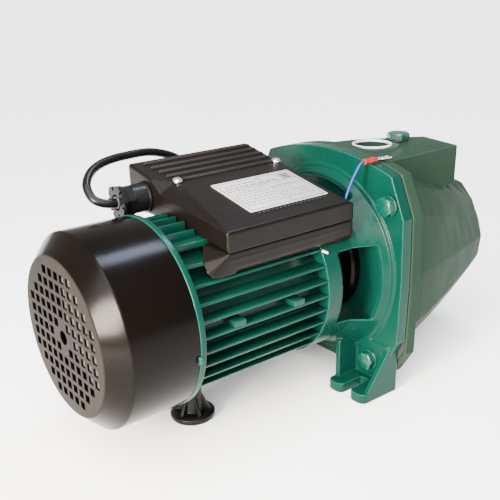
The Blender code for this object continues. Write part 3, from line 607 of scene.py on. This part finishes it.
def coil_tie():
    cx, cy = COIL_CENTRE
    middle_r = (COIL_OUTER + COIL_INNER) / 2
    middle_z = (COIL_LOW + COIL_HIGH) / 2
    half_r = (COIL_OUTER - COIL_INNER) / 2 + CORD_R
    half_z = (COIL_HIGH - COIL_LOW) / 2 + CORD_R
    thick = 0.7
    inner = rectangle(-half_r, -half_z, half_r, half_z, 3.2)
    outer = rectangle(-half_r - thick, -half_z - thick, half_r + thick, half_z + thick, 3.9)
    band = plate([outer, inner], (-4.0, 4.0), "Y", 0.15, 1)
    add(band, block((half_r + 0.1, -4.6, -2.2), (half_r + 1.2, 4.6, 2.2), 0.3))
    place = turned_to((cx, cy, middle_z), math.radians(118), "Z") @ Matrix.Translation((middle_r, 0.0, 0.0))
    return piece("coil_tie", turned_by(band, place), "rubber")


def earth_lead():
    x, y, z = TERMINAL
    route = [(230.5, y, z - 27), (233, y, z - 21), (238, y, z - 12), (243.5, y, z - 4.3), (246.5, y, z - 1),
             (x - 0.6, y, z)]
    line = smooth_route(route, 1.2)
    lead = cord_curve("earth_lead_wire", line, LEAD_R, "lead_blue", ["earth_lead"], 5)
    ring = [(0.0, 1.3), (0.0, 2.0), (0.6, 2.4), (3.0, 2.4), (3.8, 2.15), (6.6, 2.15), (7.4, 2.4),
            (12.6, 2.4), (13.8, 2.1), (15.0, 1.9), (15.0, 1.3)]
    sleeve = piece("earth_sleeve_skin", lathe(ring, "X", TERMINAL, 32), "sleeve_red", ["earth_sleeve"])
    barrel = lathe(fillet([(15.3, 0.0), (15.3, 1.4), (20.5, 1.4), (22.5, 1.0), (22.5, 0.0)],
                          [0, 0.3, 0.3, 0.3, 0], 2), "X", TERMINAL, 24)
    tongue = [(20.5, -1.6), (23.0, -3.0), (31.0, -3.0), (31.0, -1.5), (26.0, -1.5), (25.2, 0.0), (26.0, 1.5),
              (31.0, 1.5), (31.0, 3.0), (23.0, 3.0), (20.5, 1.6)]
    tongue = [(x + u, y + v) for u, v in fillet(tongue, 0.7, 3)]
    fork = add(barrel, plate([tongue], (z - 0.4, z + 0.4), "Z", 0.12, 1))
    terminal = piece("earth_terminal_fork", fork, "tin", ["earth_terminal"])


# ---------------------------------------------------------------- motor

COVER_R, COVER_END_X, COVER_WALL = 76.0, 68.0, 1.6
GRILLE_PITCH, GRILLE_HOLE, GRILLE_R = 9.6, 6.4, 55.7
FIN_R, FIN_ROOT_R, FIN_PITCH, FIN_HALF, BORE_R = 71.0, 60.0, 12.2, 1.2, 57.3
HOUSING = (73.7, 197.0)
PAD_Z = 60.6
SIDE_FINS, TOP_FIN_END_X = 4, 101.5


def fan_cover():
    disc_r, eye_r, solid_r = 58.0, 5.5, 10.0
    bevel_r, bevel_x = 61.4, 14.3
    half = GRILLE_HOLE / 2
    reach = int(GRILLE_R / GRILLE_PITCH) + 1
    holes = []
    for line in range(-reach, reach + 1):
        for column in range(-reach, reach + 1):
            y, z = column * GRILLE_PITCH, line * GRILLE_PITCH
            if solid_r < math.hypot(y, z) < GRILLE_R - half:
                holes.append(rectangle(y - half, SHAFT_Z + z - half, y + half, SHAFT_Z + z + half, 0.45, 2))
    centre = (0, SHAFT_Z)
    face = plate([circle(disc_r, 128, centre), circle(eye_r, 32, centre)] + holes, (0.0, COVER_WALL))
    inner = COVER_R - COVER_WALL
    ring = fillet([(0.0, disc_r), (0.0, bevel_r), (bevel_x, COVER_R), (COVER_END_X, COVER_R),
                   (COVER_END_X, inner), (15.0, inner), (COVER_WALL, 60.6), (COVER_WALL, disc_r)],
                  [0, 1.8, 2.4, 0.5, 0.3, 2.0, 1.5, 0], 6)
    body = add(face, lathe(ring, steps=160))
    cover = piece("fan_cover_shell", body, "gloss_black", ["fan_cover"], sharp=24)
    # Painted reflection: the flat grille face gets the lighter brown black in place of the reflection it
    # shows.
    cover.data.materials.append(FINISH["grille_face_painted_reflection"])
    face_x = row((0.3, 0.0, 0.0)).x
    for polygon in cover.data.polygons:
        polygon.material_index = int(polygon.center.x < face_x)


def end_ring():
    ring = fillet([(73.4, 76.4), (68.3, 76.4), (68.3, 74.0), (63.0, 74.0), (63.0, 60.0), (68.0, 56.0),
                   (68.0, 22.0), (59.0, 20.0), (59.0, 8.0), (62.6, 8.0), (62.6, 16.3), (73.4, 16.3)],
                  [0.9, 0.9, 0, 0.6, 1.5, 1.5, 2, 2, 1, 0, 0, 0], 3)
    body = lathe(ring, steps=144)
    tab = plate([rectangle(-4.0, -3.0, 4.0, 3.0, 1.4)], (0.0, 3.0), "X", 0.5)
    tab_turn, tab_r = math.radians(180 + 9), 74.3
    add(body, turned_by(tab, turned_to((66.0, 0, SHAFT_Z), tab_turn) @ Matrix.Translation((0, tab_r, 0))))
    piece("end_ring_shell", body, "bracket_green", ["rear_end_shield"])


def housing_outline():
    """The finned tube's outline, with fillets at the fins' roots and rounded tips."""
    def root(v):
        return -math.sqrt(FIN_ROOT_R ** 2 - v * v)

    def tip(v):
        return -math.sqrt(FIN_R ** 2 - v * v)

    root_fillet, tip_fillet = 1.4, 1.0
    pad_y = tip(PAD_Z) + 1.5
    half = [(0.0, PAD_Z, 0), (pad_y, PAD_Z, 1.0), (pad_y, PAD_Z - 5.0, 1.0),
            (root(PAD_Z - 8.0), PAD_Z - 8.0, 1.5)]
    for k in range(SIDE_FINS, -SIDE_FINS - 1, -1):
        z = k * FIN_PITCH
        for edge, inwards in ((z + FIN_HALF, False), (z - FIN_HALF, True)):
            pair = [(root(edge), edge, root_fillet), (tip(edge), edge, tip_fillet)]
            half += reversed(pair) if inwards else pair
    for k in (-2, -1, 0):
        left, right = k * FIN_PITCH - FIN_HALF, k * FIN_PITCH + FIN_HALF
        half += [(left, root(left), root_fillet), (left, tip(left), tip_fillet)]
        if k < 0:
            half += [(right, tip(right), tip_fillet), (right, root(right), root_fillet)]
    full = half + [(-y, z, r) for y, z, r in reversed(half) if y != 0]
    return fillet([(y, z + SHAFT_Z) for y, z, _ in full], [r for _, _, r in full], 3)


def motor_housing():
    body = plate([housing_outline(), circle(BORE_R, 96, (0, SHAFT_Z))], HOUSING, "X", 0.35, 1)
    low, high = SHAFT_Z + 0.2, SHAFT_Z + 5.6
    for x in (108.0, 166.0):
        add(body, block((x - 5.5, -70.6, low), (x + 5.5, -58.0, high), 0.7),
            block((x - 5.5, 58.0, low), (x + 5.5, 70.6, high), 0.7))
    for k in range(-2, 3):
        y = k * FIN_PITCH
        top = SHAFT_Z + math.sqrt(FIN_R ** 2 - y * y)
        add(body, block((HOUSING[0] + 0.2, y - FIN_HALF, SHAFT_Z + 59.0),
                        (TOP_FIN_END_X, y + FIN_HALF, top), 0.5))
    chipped = SHAFT_Z + 3 * FIN_PITCH
    chip = block((196.8, -69.0, chipped - 1.0), (197.06, -62.5, chipped + 1.0))
    piece("paint_chip_mark", chip, "paint_chip")
    # The fins take the darker copy of the green paint, which is painted shade.
    piece("motor_housing_fins", body, "enamel_green", ["motor_housing"])


FOOT_X, FOOT_DISC_R = 105.7, 19.0


def rear_foot():
    ring = fillet([(0.0, 0.0), (0.0, 18.2), (1.2, FOOT_DISC_R), (4.6, FOOT_DISC_R), (5.6, 17.6), (6.2, 16.8),
                   (6.2, 9.5), (28.0, 8.2), (31.5, 11.0), (35.4, 11.0), (35.4, 0.0)],
                  [0, 0.4, 0.8, 0.8, 0.4, 0.5, 1.0, 1.5, 0.8, 0.4, 0], 3)
    body = lathe(ring, "Z", (FOOT_X, 0.0, 0.0), 72)
    rib = fillet([(-16.0, 5.5), (16.0, 5.5), (6.0, 26.0), (-6.0, 26.0)], [0.5, 0.5, 2, 2], 3)
    for k in range(3):
        web = plate([rib], (-1.4, 1.4), "Y", 0.4)
        add(body, turned_by(web, turned_to((FOOT_X, 0, 0), math.radians(60 * k + 20), "Z")))
    piece("rear_foot_moulding", body, "foot_plastic", ["rear_foot"])


# ---------------------------------------------------------------- bracket

FLANGE = (258.0, 268.6)
CASE_FLANGE = (270.2, 282.0)
LANTERN_R, LANTERN_FLARE_R, LANTERN_WALL = 71.0, 83.0, 5.0
BRACKET_START_X = 197.3
FOOT_OUT_Y, FOOT_IN_Y, FOOT_TIP_X, FOOT_THICK = 85.0, 40.0, 226.0, 9.0
SLOT_Y, SLOT_W, SLOT_END_X = 62.5, 9.5, 247.0
BOLTS = ((-77.0, 172.0), (77.0, 172.0), (-63.0, 27.0), (63.0, 27.0))
BOLT_R, BOLT_AF, BOLT_HEAD = 4.0, 15.0, 6.8


def flange_top():
    """The y < 0 half of both flanges' outline, from the top arch to the side."""
    top, side_y, side_z = 208.0, -77.0, 195.0
    radius = (side_y ** 2 + (top - side_z) ** 2) / (2 * (top - side_z))
    sweep = math.degrees(math.asin(-side_y / radius))
    return arc(radius, 90.0, 90.0 + sweep, 14, (0.0, top - radius)) + [(-92.0, 162.0), (-93.5, 108.0)]


def lantern():
    """The hollow barrel between the motor and the flange, with the front bearing's seat."""
    wall = LANTERN_WALL
    return lathe([
        (FLANGE[0] + 3, LANTERN_FLARE_R), (FLANGE[0] - 2, LANTERN_FLARE_R), (252.0, 80.5), (244.0, 76.5),
        (236.0, 73.0), (230.0, LANTERN_R), (BRACKET_START_X, LANTERN_R), (BRACKET_START_X, BORE_R),
        (204.0, 52.0), (204.0, 22.0), (BRACKET_START_X, 20.0), (BRACKET_START_X, 16.3), (209.0, 16.3),
        (209.0, 9.0), (212.0, 9.0), (212.0, LANTERN_R - wall), (230.0, LANTERN_R - wall),
        (FLANGE[0] - 2, LANTERN_FLARE_R - wall), (FLANGE[0] + 3, LANTERN_FLARE_R - wall)], steps=128)


def foot_solids(side):
    """Slotted plate, outer gusset, inner web and bolt pad of one foot; side is -1 or 1."""
    back_x = FLANGE[0] + 3
    outer, inner = side * FOOT_OUT_Y, side * FOOT_IN_Y
    lo, hi = sorted((outer, inner))
    slot = SLOT_W / 2
    middle = side * SLOT_Y
    outline = [(back_x, lo), (FOOT_TIP_X, lo), (FOOT_TIP_X, middle - slot)]
    radii = [0, 6.0, 5.0]
    outline += [(SLOT_END_X, middle - slot), (SLOT_END_X + slot, middle - slot),
                (SLOT_END_X + slot, middle + slot), (SLOT_END_X, middle + slot)]
    radii += [0, slot, slot, 0]
    outline += [(FOOT_TIP_X, middle + slot), (FOOT_TIP_X, hi), (back_x, hi)]
    radii += [5.0, 6.0, 0]
    base = plate([fillet(outline, radii, 6)], (0.0, FOOT_THICK), "Z")
    gusset = [(232.0, 3.0), (back_x, 3.0), (back_x, 47.0), (257.0, 43.0), (232.0, FOOT_THICK)]
    web = [(236.0, 3.0), (back_x, 3.0), (back_x, 58.0), (236.0, 44.0)]
    pad = [(side * 84.0, 46.0), (side * 58.0, 46.0), (side * 50.0, 34.0), (side * 52.0, 17.0),
           (side * 60.0, 12.0), (side * 84.0, 17.0)]
    return [base, plate([gusset], sorted((outer, outer - side * 5.0)), "Y"),
            plate([web], sorted((inner, inner + side * 5.0)), "Y"),
            plate([pad], (FLANGE[0] - 1.8, FLANGE[0] + 2), "X")]


def motor_bracket():
    half = flange_top() + [(-92.0, 52.0), (-FOOT_OUT_Y, 38.0), (-FOOT_OUT_Y, 0.0), (-FOOT_IN_Y, 0.0),
                           (-FOOT_IN_Y, 14.0), (0.0, 14.0)]
    flange = plate([mirrored(half)], FLANGE, "X")
    rim = lathe([(FLANGE[0] + 2, 79.0), (FLANGE[0] - 1.6, 79.0), (FLANGE[0] - 1.6, 86.5),
                 (FLANGE[0] + 2, 86.5)], steps=128)
    joins = [lantern(), rim] + foot_solids(-1) + foot_solids(1)
    joins.append(block((214.0, -3.0, 30.0), (258.0, 3.0, 42.0)))
    side_window = fillet([(213.0, SHAFT_Z - 31), (250.5, SHAFT_Z - 37), (250.5, SHAFT_Z + 31),
                          (213.0, SHAFT_Z + 31)], 2.0)
    top_window = rectangle(231.5, -42.0, 251.0, 42.0, 2.5)
    drain_window = rectangle(216.0, -26.0, 250.0, 26.0, 4.5)
    cuts = [plate([side_window], (-110.0, 110.0), "Y"), plate([top_window], (SHAFT_Z + 45, 220.0), "Z"),
            plate([drain_window], (-5.0, SHAFT_Z - 45), "Z"),
            block((190.0, -90.0, SHAFT_Z + PAD_Z), (230.0, 90.0, 220.0)),
            rod(9.0, (250, 0, SHAFT_Z), 30), rod(14.0, (262, 0, SHAFT_Z), 20)]
    cuts += [rod(BOLT_R + 0.4, (250, y, z), 30) for y, z in BOLTS]
    body = cast(carved(flange, joins, cuts), 0.7, 3)
    piece("motor_bracket_casting", body, "bracket_green", ["motor_bracket"], sharp=0)


def flange_bolts():
    for k, (y, z) in enumerate(BOLTS, 1):
        head = turned_by(hexagon(BOLT_AF, (0, 0, 0), BOLT_HEAD, "X", 1.1, 0.3 * k),
                         turned_to((FLANGE[0] - 2.3, y, z), math.pi, "Y"))
        washer = lathe(fillet([(0.0, 4.3), (0.0, 8.9), (1.4, 8.9), (1.4, 4.3)], 0.4, 2), "X",
                       (FLANGE[0] - 2.9, y, z), 48)
        shank = rod(BOLT_R, (FLANGE[0] - 1.5, y, z), 24.0, "X", 0.6)
        piece("flange_bolt_head_%d" % k, add(head, washer, shank), "bolt_green", ["flange_bolt_%d" % k])


# ---------------------------------------------------------------- pump end

FLANGE_SECTION = [(0.0, 90.0), (-40.0, 88.0), (-74.0, 76.0), (-86.0, 53.0), (-89.0, 1.0),
                  (-85.0, -50.0), (-68.0, -77.0), (-38.0, -87.0), (0.0, -90.0)]
NOSE_SECTION = [(0.0, 50.0), (-22.0, 45.0), (-36.0, 31.0), (-46.0, 12.0), (-51.0, -4.0),
                (-49.0, -24.0), (-39.0, -42.0), (-21.0, -54.0), (0.0, -58.0)]
NOSE_X, BOSS_X, TOP_Z = 425.0, 433.0, 200.5
PORT, PLUG = (316.0, 0.0), (351.0, 0.0)
THREAD_R, G14_R, PLUG_AF, DRAIN_Z = 16.6, 6.6, 19.0, 62.0


def barrel_section(t, inset):
    """The body's outline at t, which is 0 at the flange and 1 at the nose."""
    bulge = 1.0 + 0.16 * t * (1.0 - t)
    ring = []
    for (y0, z0), (y1, z1) in zip(FLANGE_SECTION, NOSE_SECTION):
        y, z = (y0 + (y1 - y0) * t) * bulge, (z0 + (z1 - z0) * t) * bulge
        scale = 1.0 - inset / math.hypot(y, z)
        ring.append((y * scale, z * scale))
    return mirrored(ring)


def barrel(start, end, inset):
    """The casing's tapering body between two stations, or its hollow if an inset is given."""
    bm = bmesh.new()
    rings = []
    count = 9
    for k in range(count):
        x = start + (end - start) * k / (count - 1)
        t = min(max((x - CASE_FLANGE[1]) / (NOSE_X - CASE_FLANGE[1]), 0.0), 1.0)
        rings.append([bm.verts.new((x, y, z + SHAFT_Z)) for y, z in barrel_section(t, inset)])
    for ring, after in zip(rings, rings[1:]):
        size = len(ring)
        for i in range(size):
            bm.faces.new((ring[i], ring[(i + 1) % size], after[(i + 1) % size], after[i]))
    bm.faces.new(rings[0])
    bm.faces.new(rings[-1])
    bmesh.ops.recalc_face_normals(bm, faces=bm.faces)
    return bm


def pump_casing():
    half = flange_top() + [(-92.0, 37.0), (-78.0, 14.0), (0.0, 10.0)]
    block_outline = [(CASE_FLANGE[1] - 3, -52.0), (376.0, -50.0), (386.0, -2.0), (374.0, 6.0), (327.0, 34.0),
                     (300.0, 42.0), (CASE_FLANGE[1] - 3, 44.0)]
    joins = [plate([mirrored(half)], CASE_FLANGE), plate([block_outline], (165.0, TOP_Z), "Z"),
             rod(25.0, (PORT[0], PORT[1], TOP_Z - 15), 16.2, "Z", 0, 96),
             rod(26.0, (NOSE_X - 15, 0, SHAFT_Z), 15 + BOSS_X - NOSE_X, "X", 0, 96),
             rod(11.0, (NOSE_X - 25, 0, DRAIN_Z), 24.5)]
    cuts = [barrel(CASE_FLANGE[1] + 12, NOSE_X - 9, 7.0),
            rod(62.4, (CASE_FLANGE[0] - 5, 0, SHAFT_Z), 38, steps=96),
            rod(THREAD_R, (PORT[0], PORT[1], 160), 60, "Z"), rod(THREAD_R, (NOSE_X - 20, 0, SHAFT_Z), 50),
            rod(G14_R + 0.3, (PLUG[0], PLUG[1], 160), 60, "Z"),
            rod(G14_R + 0.3, (NOSE_X - 25, 0, DRAIN_Z), 50)]
    cuts += [rod(BOLT_R + 0.4, (CASE_FLANGE[0] - 5, y, z), 16) for y, z in BOLTS]
    body = cast(carved(barrel(CASE_FLANGE[1] - 3, NOSE_X, 0.0), joins, cuts), 0.9, 3)
    piece("pump_casing_casting", body, "casing_green", ["pump_casing"], sharp=0)


def thread(axis, centre, start, end):
    """Rings of a G1 pipe thread inside a port."""
    radius, pitch, depth = THREAD_R, 2.31, 1.0
    ring = [(start, radius + 0.1)]
    x = start
    while x < end - pitch:
        ring += [(x + pitch * 0.5, radius - depth), (x + pitch, radius - 0.05)]
        x += pitch
    ring += [(end, radius + 0.1)]
    return lathe(ring, axis, centre, 72)


def seal_shade_plate():
    """The black plate round the shaft seal that shows through the bracket's windows; its black is painted
    shade.
    """
    ring = fillet([(257.9, 14.5), (250.0, 14.5), (248.5, 18.0), (248.5, 44.0), (251.0, 46.5), (257.9, 46.5)],
                  [0, 1, 1.5, 1.5, 1.5, 0], 4)
    piece("seal_plate_painted_shade", lathe(ring), "gloss_black")


def ports():
    port = (*PORT, 0.0)
    ring = fillet([(201.2, 16.0), (201.2, 18.3), (203.4, 18.0), (203.4, 16.3)], [0.4, 0.6, 0.8, 0.5], 4)
    piece("discharge_port_sleeve", lathe(ring, "Z", port), "white_plastic", ["discharge_port_ring"])
    # The discharge thread is painted near-black as shade in the bore; the suction thread keeps the casing's
    # green.
    piece("discharge_thread", thread("Z", port, 179.0, 198.3), "bore_painted_shade")
    piece("suction_thread", thread("X", AXIS, 412.0, 431.5), "casing_green")


def hex_plugs():
    heads = (("priming", "Z", (PLUG[0], PLUG[1], TOP_Z), "bolt_green"),
             ("drain", "X", (NOSE_X, 0.0, DRAIN_Z), "zinc_steel"))
    seat, height, shank = 2.1, 5.8, 12.0
    for name, axis, at, paint in heads:
        along = Vector((0, 0, 1)) if axis == "Z" else Vector((1, 0, 0))
        base = Vector(at) + along * seat
        head = hexagon(PLUG_AF, base, height, axis, 1.2)
        add(head, rod(G14_R, base - along * shank, shank + 0.5, axis, 0.5))
        piece(name + "_plug_head", head, paint, [name + "_plug"], name)
        ring = fillet([(0.3, 7.0), (0.3, 9.2), (1.8, 9.2), (1.8, 7.0)], 0.5, 3)
        piece(name + "_washer_ring", lathe(ring, axis, at, 48), "rubber", [name + "_plug_washer"],
              name + "_washer")


# ---------------------------------------------------------------- terminal box

BOX_X, BOX_Y = (102.5, 228.0), (-66.0, 70.0)
LID_BACK_Z, LID_SLOPE, LID_RIM_Z, LID_FRONT_RIM_Z, BOX_WALL = 207.0, 0.2, 170.0, 164.0, 2.5
LID_SCREWS = ((119.8, 23.0), (221.0, 23.0))
TILT = math.atan(LID_SLOPE)


def lid_z(y):
    """Height of the lid's sloping top at y."""
    return LID_BACK_Z - LID_SLOPE * (BOX_Y[1] - y)


def slice_off(bm, a, b, c):
    """Cut away what lies above the plane through three points, and close the cut."""
    a, b, c = Vector(a), Vector(b), Vector(c)
    normal = (b - a).cross(c - a).normalized()
    if normal.z < 0:
        normal = -normal
    found = bmesh.ops.bisect_plane(bm, geom=bm.verts[:] + bm.edges[:] + bm.faces[:], plane_co=a,
                                   plane_no=normal, clear_outer=True)
    edges = [e for e in found["geom_cut"] if isinstance(e, bmesh.types.BMEdge)]
    bmesh.ops.contextual_create(bm, geom=edges)
    bmesh.ops.recalc_face_normals(bm, faces=bm.faces)


def hull(points):
    """The convex solid that just holds some points."""
    bm = bmesh.new()
    for point in points:
        bm.verts.new(point)
    bmesh.ops.convex_hull(bm, input=bm.verts[:])
    bmesh.ops.delete(bm, geom=[v for v in bm.verts if not v.link_faces])
    bmesh.ops.recalc_face_normals(bm, faces=bm.faces)
    return bm


def box_lid():
    front, back = BOX_Y
    outline = [(back, LID_RIM_Z), (back, LID_BACK_Z), (front, lid_z(front)), (front, LID_FRONT_RIM_Z),
               (-20.0, LID_RIM_Z)]
    body = plate([fillet(outline, [0, 2.0, 2.4, 0, 0], 4)], BOX_X, "X", 2.0, 3)
    ledge = LID_SCREWS[0][1] - 1.5
    left, fade, near = BOX_X[0] - 1.0, ledge + 16.0, front - 1.0
    facet_end_x, above = 118.5, 230.0
    facet = hull([(left, near, lid_z(front) - 0.4), (left + 3.0, near, lid_z(front)),
                  (left, ledge, lid_z(ledge) - 7.5), (facet_end_x, ledge, lid_z(ledge)),
                  (left, fade, lid_z(fade)), (left, near, above), (left + 3.0, near, above),
                  (facet_end_x, ledge, above), (left, fade, above)])
    bend_x, drop = 222.5, 3.0
    slice_off(body, (bend_x, front, lid_z(front)), (bend_x, back, lid_z(back)),
              (BOX_X[1], 0.0, lid_z(0.0) - drop))
    wall = BOX_WALL
    room = [(back - wall, 150.0), (back - wall, lid_z(back - wall) - wall - 7),
            (front + wall, lid_z(front + wall) - wall - 7), (front + wall, 150.0)]
    cuts = [facet, plate([room], (BOX_X[0] + wall, BOX_X[1] - wall)),
            rod(8.3, (BOX_X[0] - 5, GLAND[0], GLAND[1]), 12)]
    cuts += [rod(4.6, (x, y, lid_z(y) - 1.2), 20, "Z") for x, y in LID_SCREWS]
    body = cast(carved(body, (), cuts), 0.6, 5)
    for k in range(5):
        y = 62.0 - 9.5 * k
        start = 113.0 + 1.4 * k if k < 4 else 124.5
        end = 221.5 if k < 4 else 216.0
        rib = block((start, y - 0.8, -1.0), (end, y + 0.8, 1.5), 0.35)
        add(body, turned_by(rib, Matrix.Translation((0, 0, lid_z(y)))))
    tooth_y = -50.5
    for k in range(17):
        x = 143.0 + 4.1 * k
        tooth = block((x, -0.9, -1.0), (x + 2.4, 0.9, 0.7), 0.25)
        add(body, turned_by(tooth, turned_to((0, tooth_y, lid_z(tooth_y)), TILT)))
    piece("box_lid_moulding", body, "box_plastic", ["box_lid"], sharp=0)


BASE_BULGE = [
    (104, -40, 166.8), (98, -40, 166.5), (88, -54, 157.5), (87, -60, 151.5), (90, -63, 147.5),
    (96, -64.5, 146.5), (110, -64.5, 146.5), (110, -65.4, 150), (110, -65.4, 163.3),
    (104, -65.4, 163.3), (110, -40, 166.8)]


def box_base():
    front, back = BOX_Y
    floor = SHAFT_Z + PAD_Z + 0.3
    outline = [(back, floor), (back, LID_RIM_Z - 0.3), (-20.0, LID_RIM_Z - 0.3),
               (front + 0.4, LID_FRONT_RIM_Z - 0.3), (front + 0.4, 150.0), (-60.0, 145.5), (-44.0, 145.5),
               (-36.0, floor)]
    body = plate([fillet(outline, [0, 0, 0, 0, 9.0, 6.0, 2.0, 0], 6)], (BOX_X[0] + 0.5, BOX_X[1] - 0.5), "X")
    bead = block((BOX_X[0] + 0.4, front, 157.5), (BOX_X[1] - 0.4, front + 3, 159.0), 0.3)
    body = carved(body, [bead], [rod(FIN_R + 0.5, (90, 0, SHAFT_Z), 150, steps=160)])
    body = cast(add(body, hull(BASE_BULGE)), 0.6, 18)
    piece("box_base_moulding", body, "box_plastic", ["box_base"], sharp=0)


def lid_screws():
    ring = fillet([(0.2, 0.0), (0.2, 4.2), (1.6, 4.2), (3.0, 2.6), (3.1, 0.0)], [0, 0.3, 1.0, 1.0, 0], 4)
    for k, (x, y) in enumerate(LID_SCREWS, 1):
        head = lathe(ring, "Z", (0, 0, 0), 48)
        slots = [block((-3.4, -0.55, 1.8), (3.4, 0.55, 4.0)), block((-0.55, -3.4, 1.8), (0.55, 3.4, 4.0))]
        head = carved(head, [rod(1.9, (0, 0, -8.0), 9.0, "Z")], slots)
        place = turned_to((x, y, lid_z(y) - 0.4), TILT) @ Matrix.Rotation(0.6 + k, 4, "Z")
        piece("lid_screw_head_%d" % k, turned_by(head, place), "zinc_steel", ["lid_screw_%d" % k])


LABEL_X, LABEL_Y, LABEL_W, LABEL_H = 177.5, -21.5, 79.0, 53.0


def rating_label():
    """A blank silver plate whose lines and dashes stand for its print; they spell nothing."""
    place = turned_to((LABEL_X, LABEL_Y, lid_z(LABEL_Y) + 0.1), TILT)
    w, h = LABEL_W / 2, LABEL_H / 2
    body = plate([rectangle(-w, -h, w, h, 1.5)], (0.0, 0.4), "Z", 0.1, 1)
    piece("rating_label_plate", turned_by(body, place), "label_silver", ["rating_label"])

    ink = bmesh.new()

    def dash(x0, y0, x1, y1):
        corners = [ink.verts.new((x, y, 0.43)) for x, y in ((x0, y0), (x1, y0), (x1, y1), (x0, y1))]
        ink.faces.new(corners)

    line = 0.28
    left, right, low, high = -w + 2.6, w - 2.6, -h + 2.6, h - 2.6
    for x0, y0, x1, y1 in ((left, low, right, low), (left, high, right, high), (left, low, left, high),
                           (right, low, right, high), (4.0, low, 4.0, high), (left, 11.5, right, 11.5),
                           (24.0, 3.0, 24.0, high), (4.0, 3.0, right, 3.0)):
        dash(x0 - line, y0 - line, x1 + line, y1 + line)
    pick = random.Random(7)

    def words(x0, x1, y, height, density=1.0):
        x = x0
        while x < x1 - 1.0:
            width = min(pick.uniform(0.8, 3.2) * height, x1 - x)
            for _ in range(max(1, round(width / (0.62 * height)))):
                dash(x, y, x + 0.42 * height, y + height * pick.uniform(0.75, 1.0))
                x += 0.62 * height
            x += 0.7 * height / density
    words(left + 6.0, 0.0, 17.5, 2.0)
    words(left + 4.0, 21.0, 13.2, 2.2)
    for k in range(7):
        words(left + 2.0, 1.5, 8.3 - 4.3 * k, 1.45, 0.7)
    for k in range(4):
        words(6.0, 22.0, 8.3 - 4.3 * k, 1.25, 0.8)
    for k in range(3):
        words(6.0, 33.0, -8.5 - 4.3 * k, 1.5, 0.8)
    for k in range(3):
        dash(25.5, 13.0 + 3.0 * k, 34.0, 15.0 + 3.0 * k)
    piece("rating_label_print", turned_by(ink, place), "label_ink")


def cable_gland():
    y, z = GLAND
    at = (0.0, y, z)
    bore = CORD_R + 0.6
    body = lathe(fillet([(110.0, 8.0), (102.2, 8.0), (102.2, 12.5), (100.4, 12.5), (100.2, 11.6),
                         (88.0, 11.6), (88.0, bore), (110.0, bore)], [0.3, 0, 0.3, 0.3, 0.2, 0.3, 0, 0], 3),
                 "X", at, 72)
    piece("gland_body_moulding", body, "foot_plastic", ["gland_body"])
    turn, collar_af, nut_af = 0.2, 25.2, 22.6
    nut = hexagon(collar_af, (76.0, y, z), 3.4, "X", 0.5, turn)
    sleeve = hexagon(nut_af, (79.0, y, z), 8.8, "X", 0.6, turn)
    hole = lathe([(70.0, 0.0), (70.0, 7.0), (77.0, 6.4), (82.0, 4.4), (90.0, 4.2), (90.0, 0.0)], "X", at, 48)
    notches = [turned_by(block((75.0, 9.5, -1.2), (77.4, 16.0, 1.2)), turned_to(at, math.pi / 3 * k + turn))
               for k in range(6)]
    nut = carved(nut, [sleeve], [hole] + notches)
    relief = lathe(fillet([(75.7, CORD_R + 0.1), (75.7, 4.9), (80.0, 5.3), (87.0, 5.6), (87.0, CORD_R + 0.1)],
                          [0.2, 0.4, 0, 0.3, 0], 3), "X", at, 40)
    piece("gland_nut_moulding", nut, "foot_plastic", ["gland_nut"])
    piece("gland_seal", relief, "rubber")


# ---------------------------------------------------------------- inner pieces and the whole

CARRIED = {
    "stator_core": "lamination", "winding_rear": "copper_enamel", "winding_front": "copper_enamel",
    "bearing_rear_outer": "shaft_steel", "bearing_rear_inner": "shaft_steel",
    "bearing_front_outer": "shaft_steel", "bearing_front_inner": "shaft_steel", "shaft": "shaft_steel",
    "rotor_core": "lamination", "fan": "noryl", "flinger": "rubber", "casing_gasket": "rubber",
    "seal_seat": "ceramic", "seal_rotating": "rubber", "impeller": "noryl", "impeller_nut": "brass",
    "diffuser": "noryl", "venturi_tube": "noryl", "ejector_nozzle": "brass", "capacitor": "white_plastic",
    "terminal_block": "white_plastic",
}


def paint_carried_nodes():
    """Finishes for the CAD nodes that are shown as they are."""
    for name, slot in CARRIED.items():
        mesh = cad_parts[name].data
        mesh.materials.clear()
        mesh.materials.append(FINISH[slot])


camera()
studio()
power_cord()
earth_lead()
paint_carried_nodes()
fan_cover()
end_ring()
motor_housing()
rear_foot()
motor_bracket()
flange_bolts()
pump_casing()
ports()
seal_shade_plate()
hex_plugs()
box_lid()
box_base()
lid_screws()
rating_label()
cable_gland()
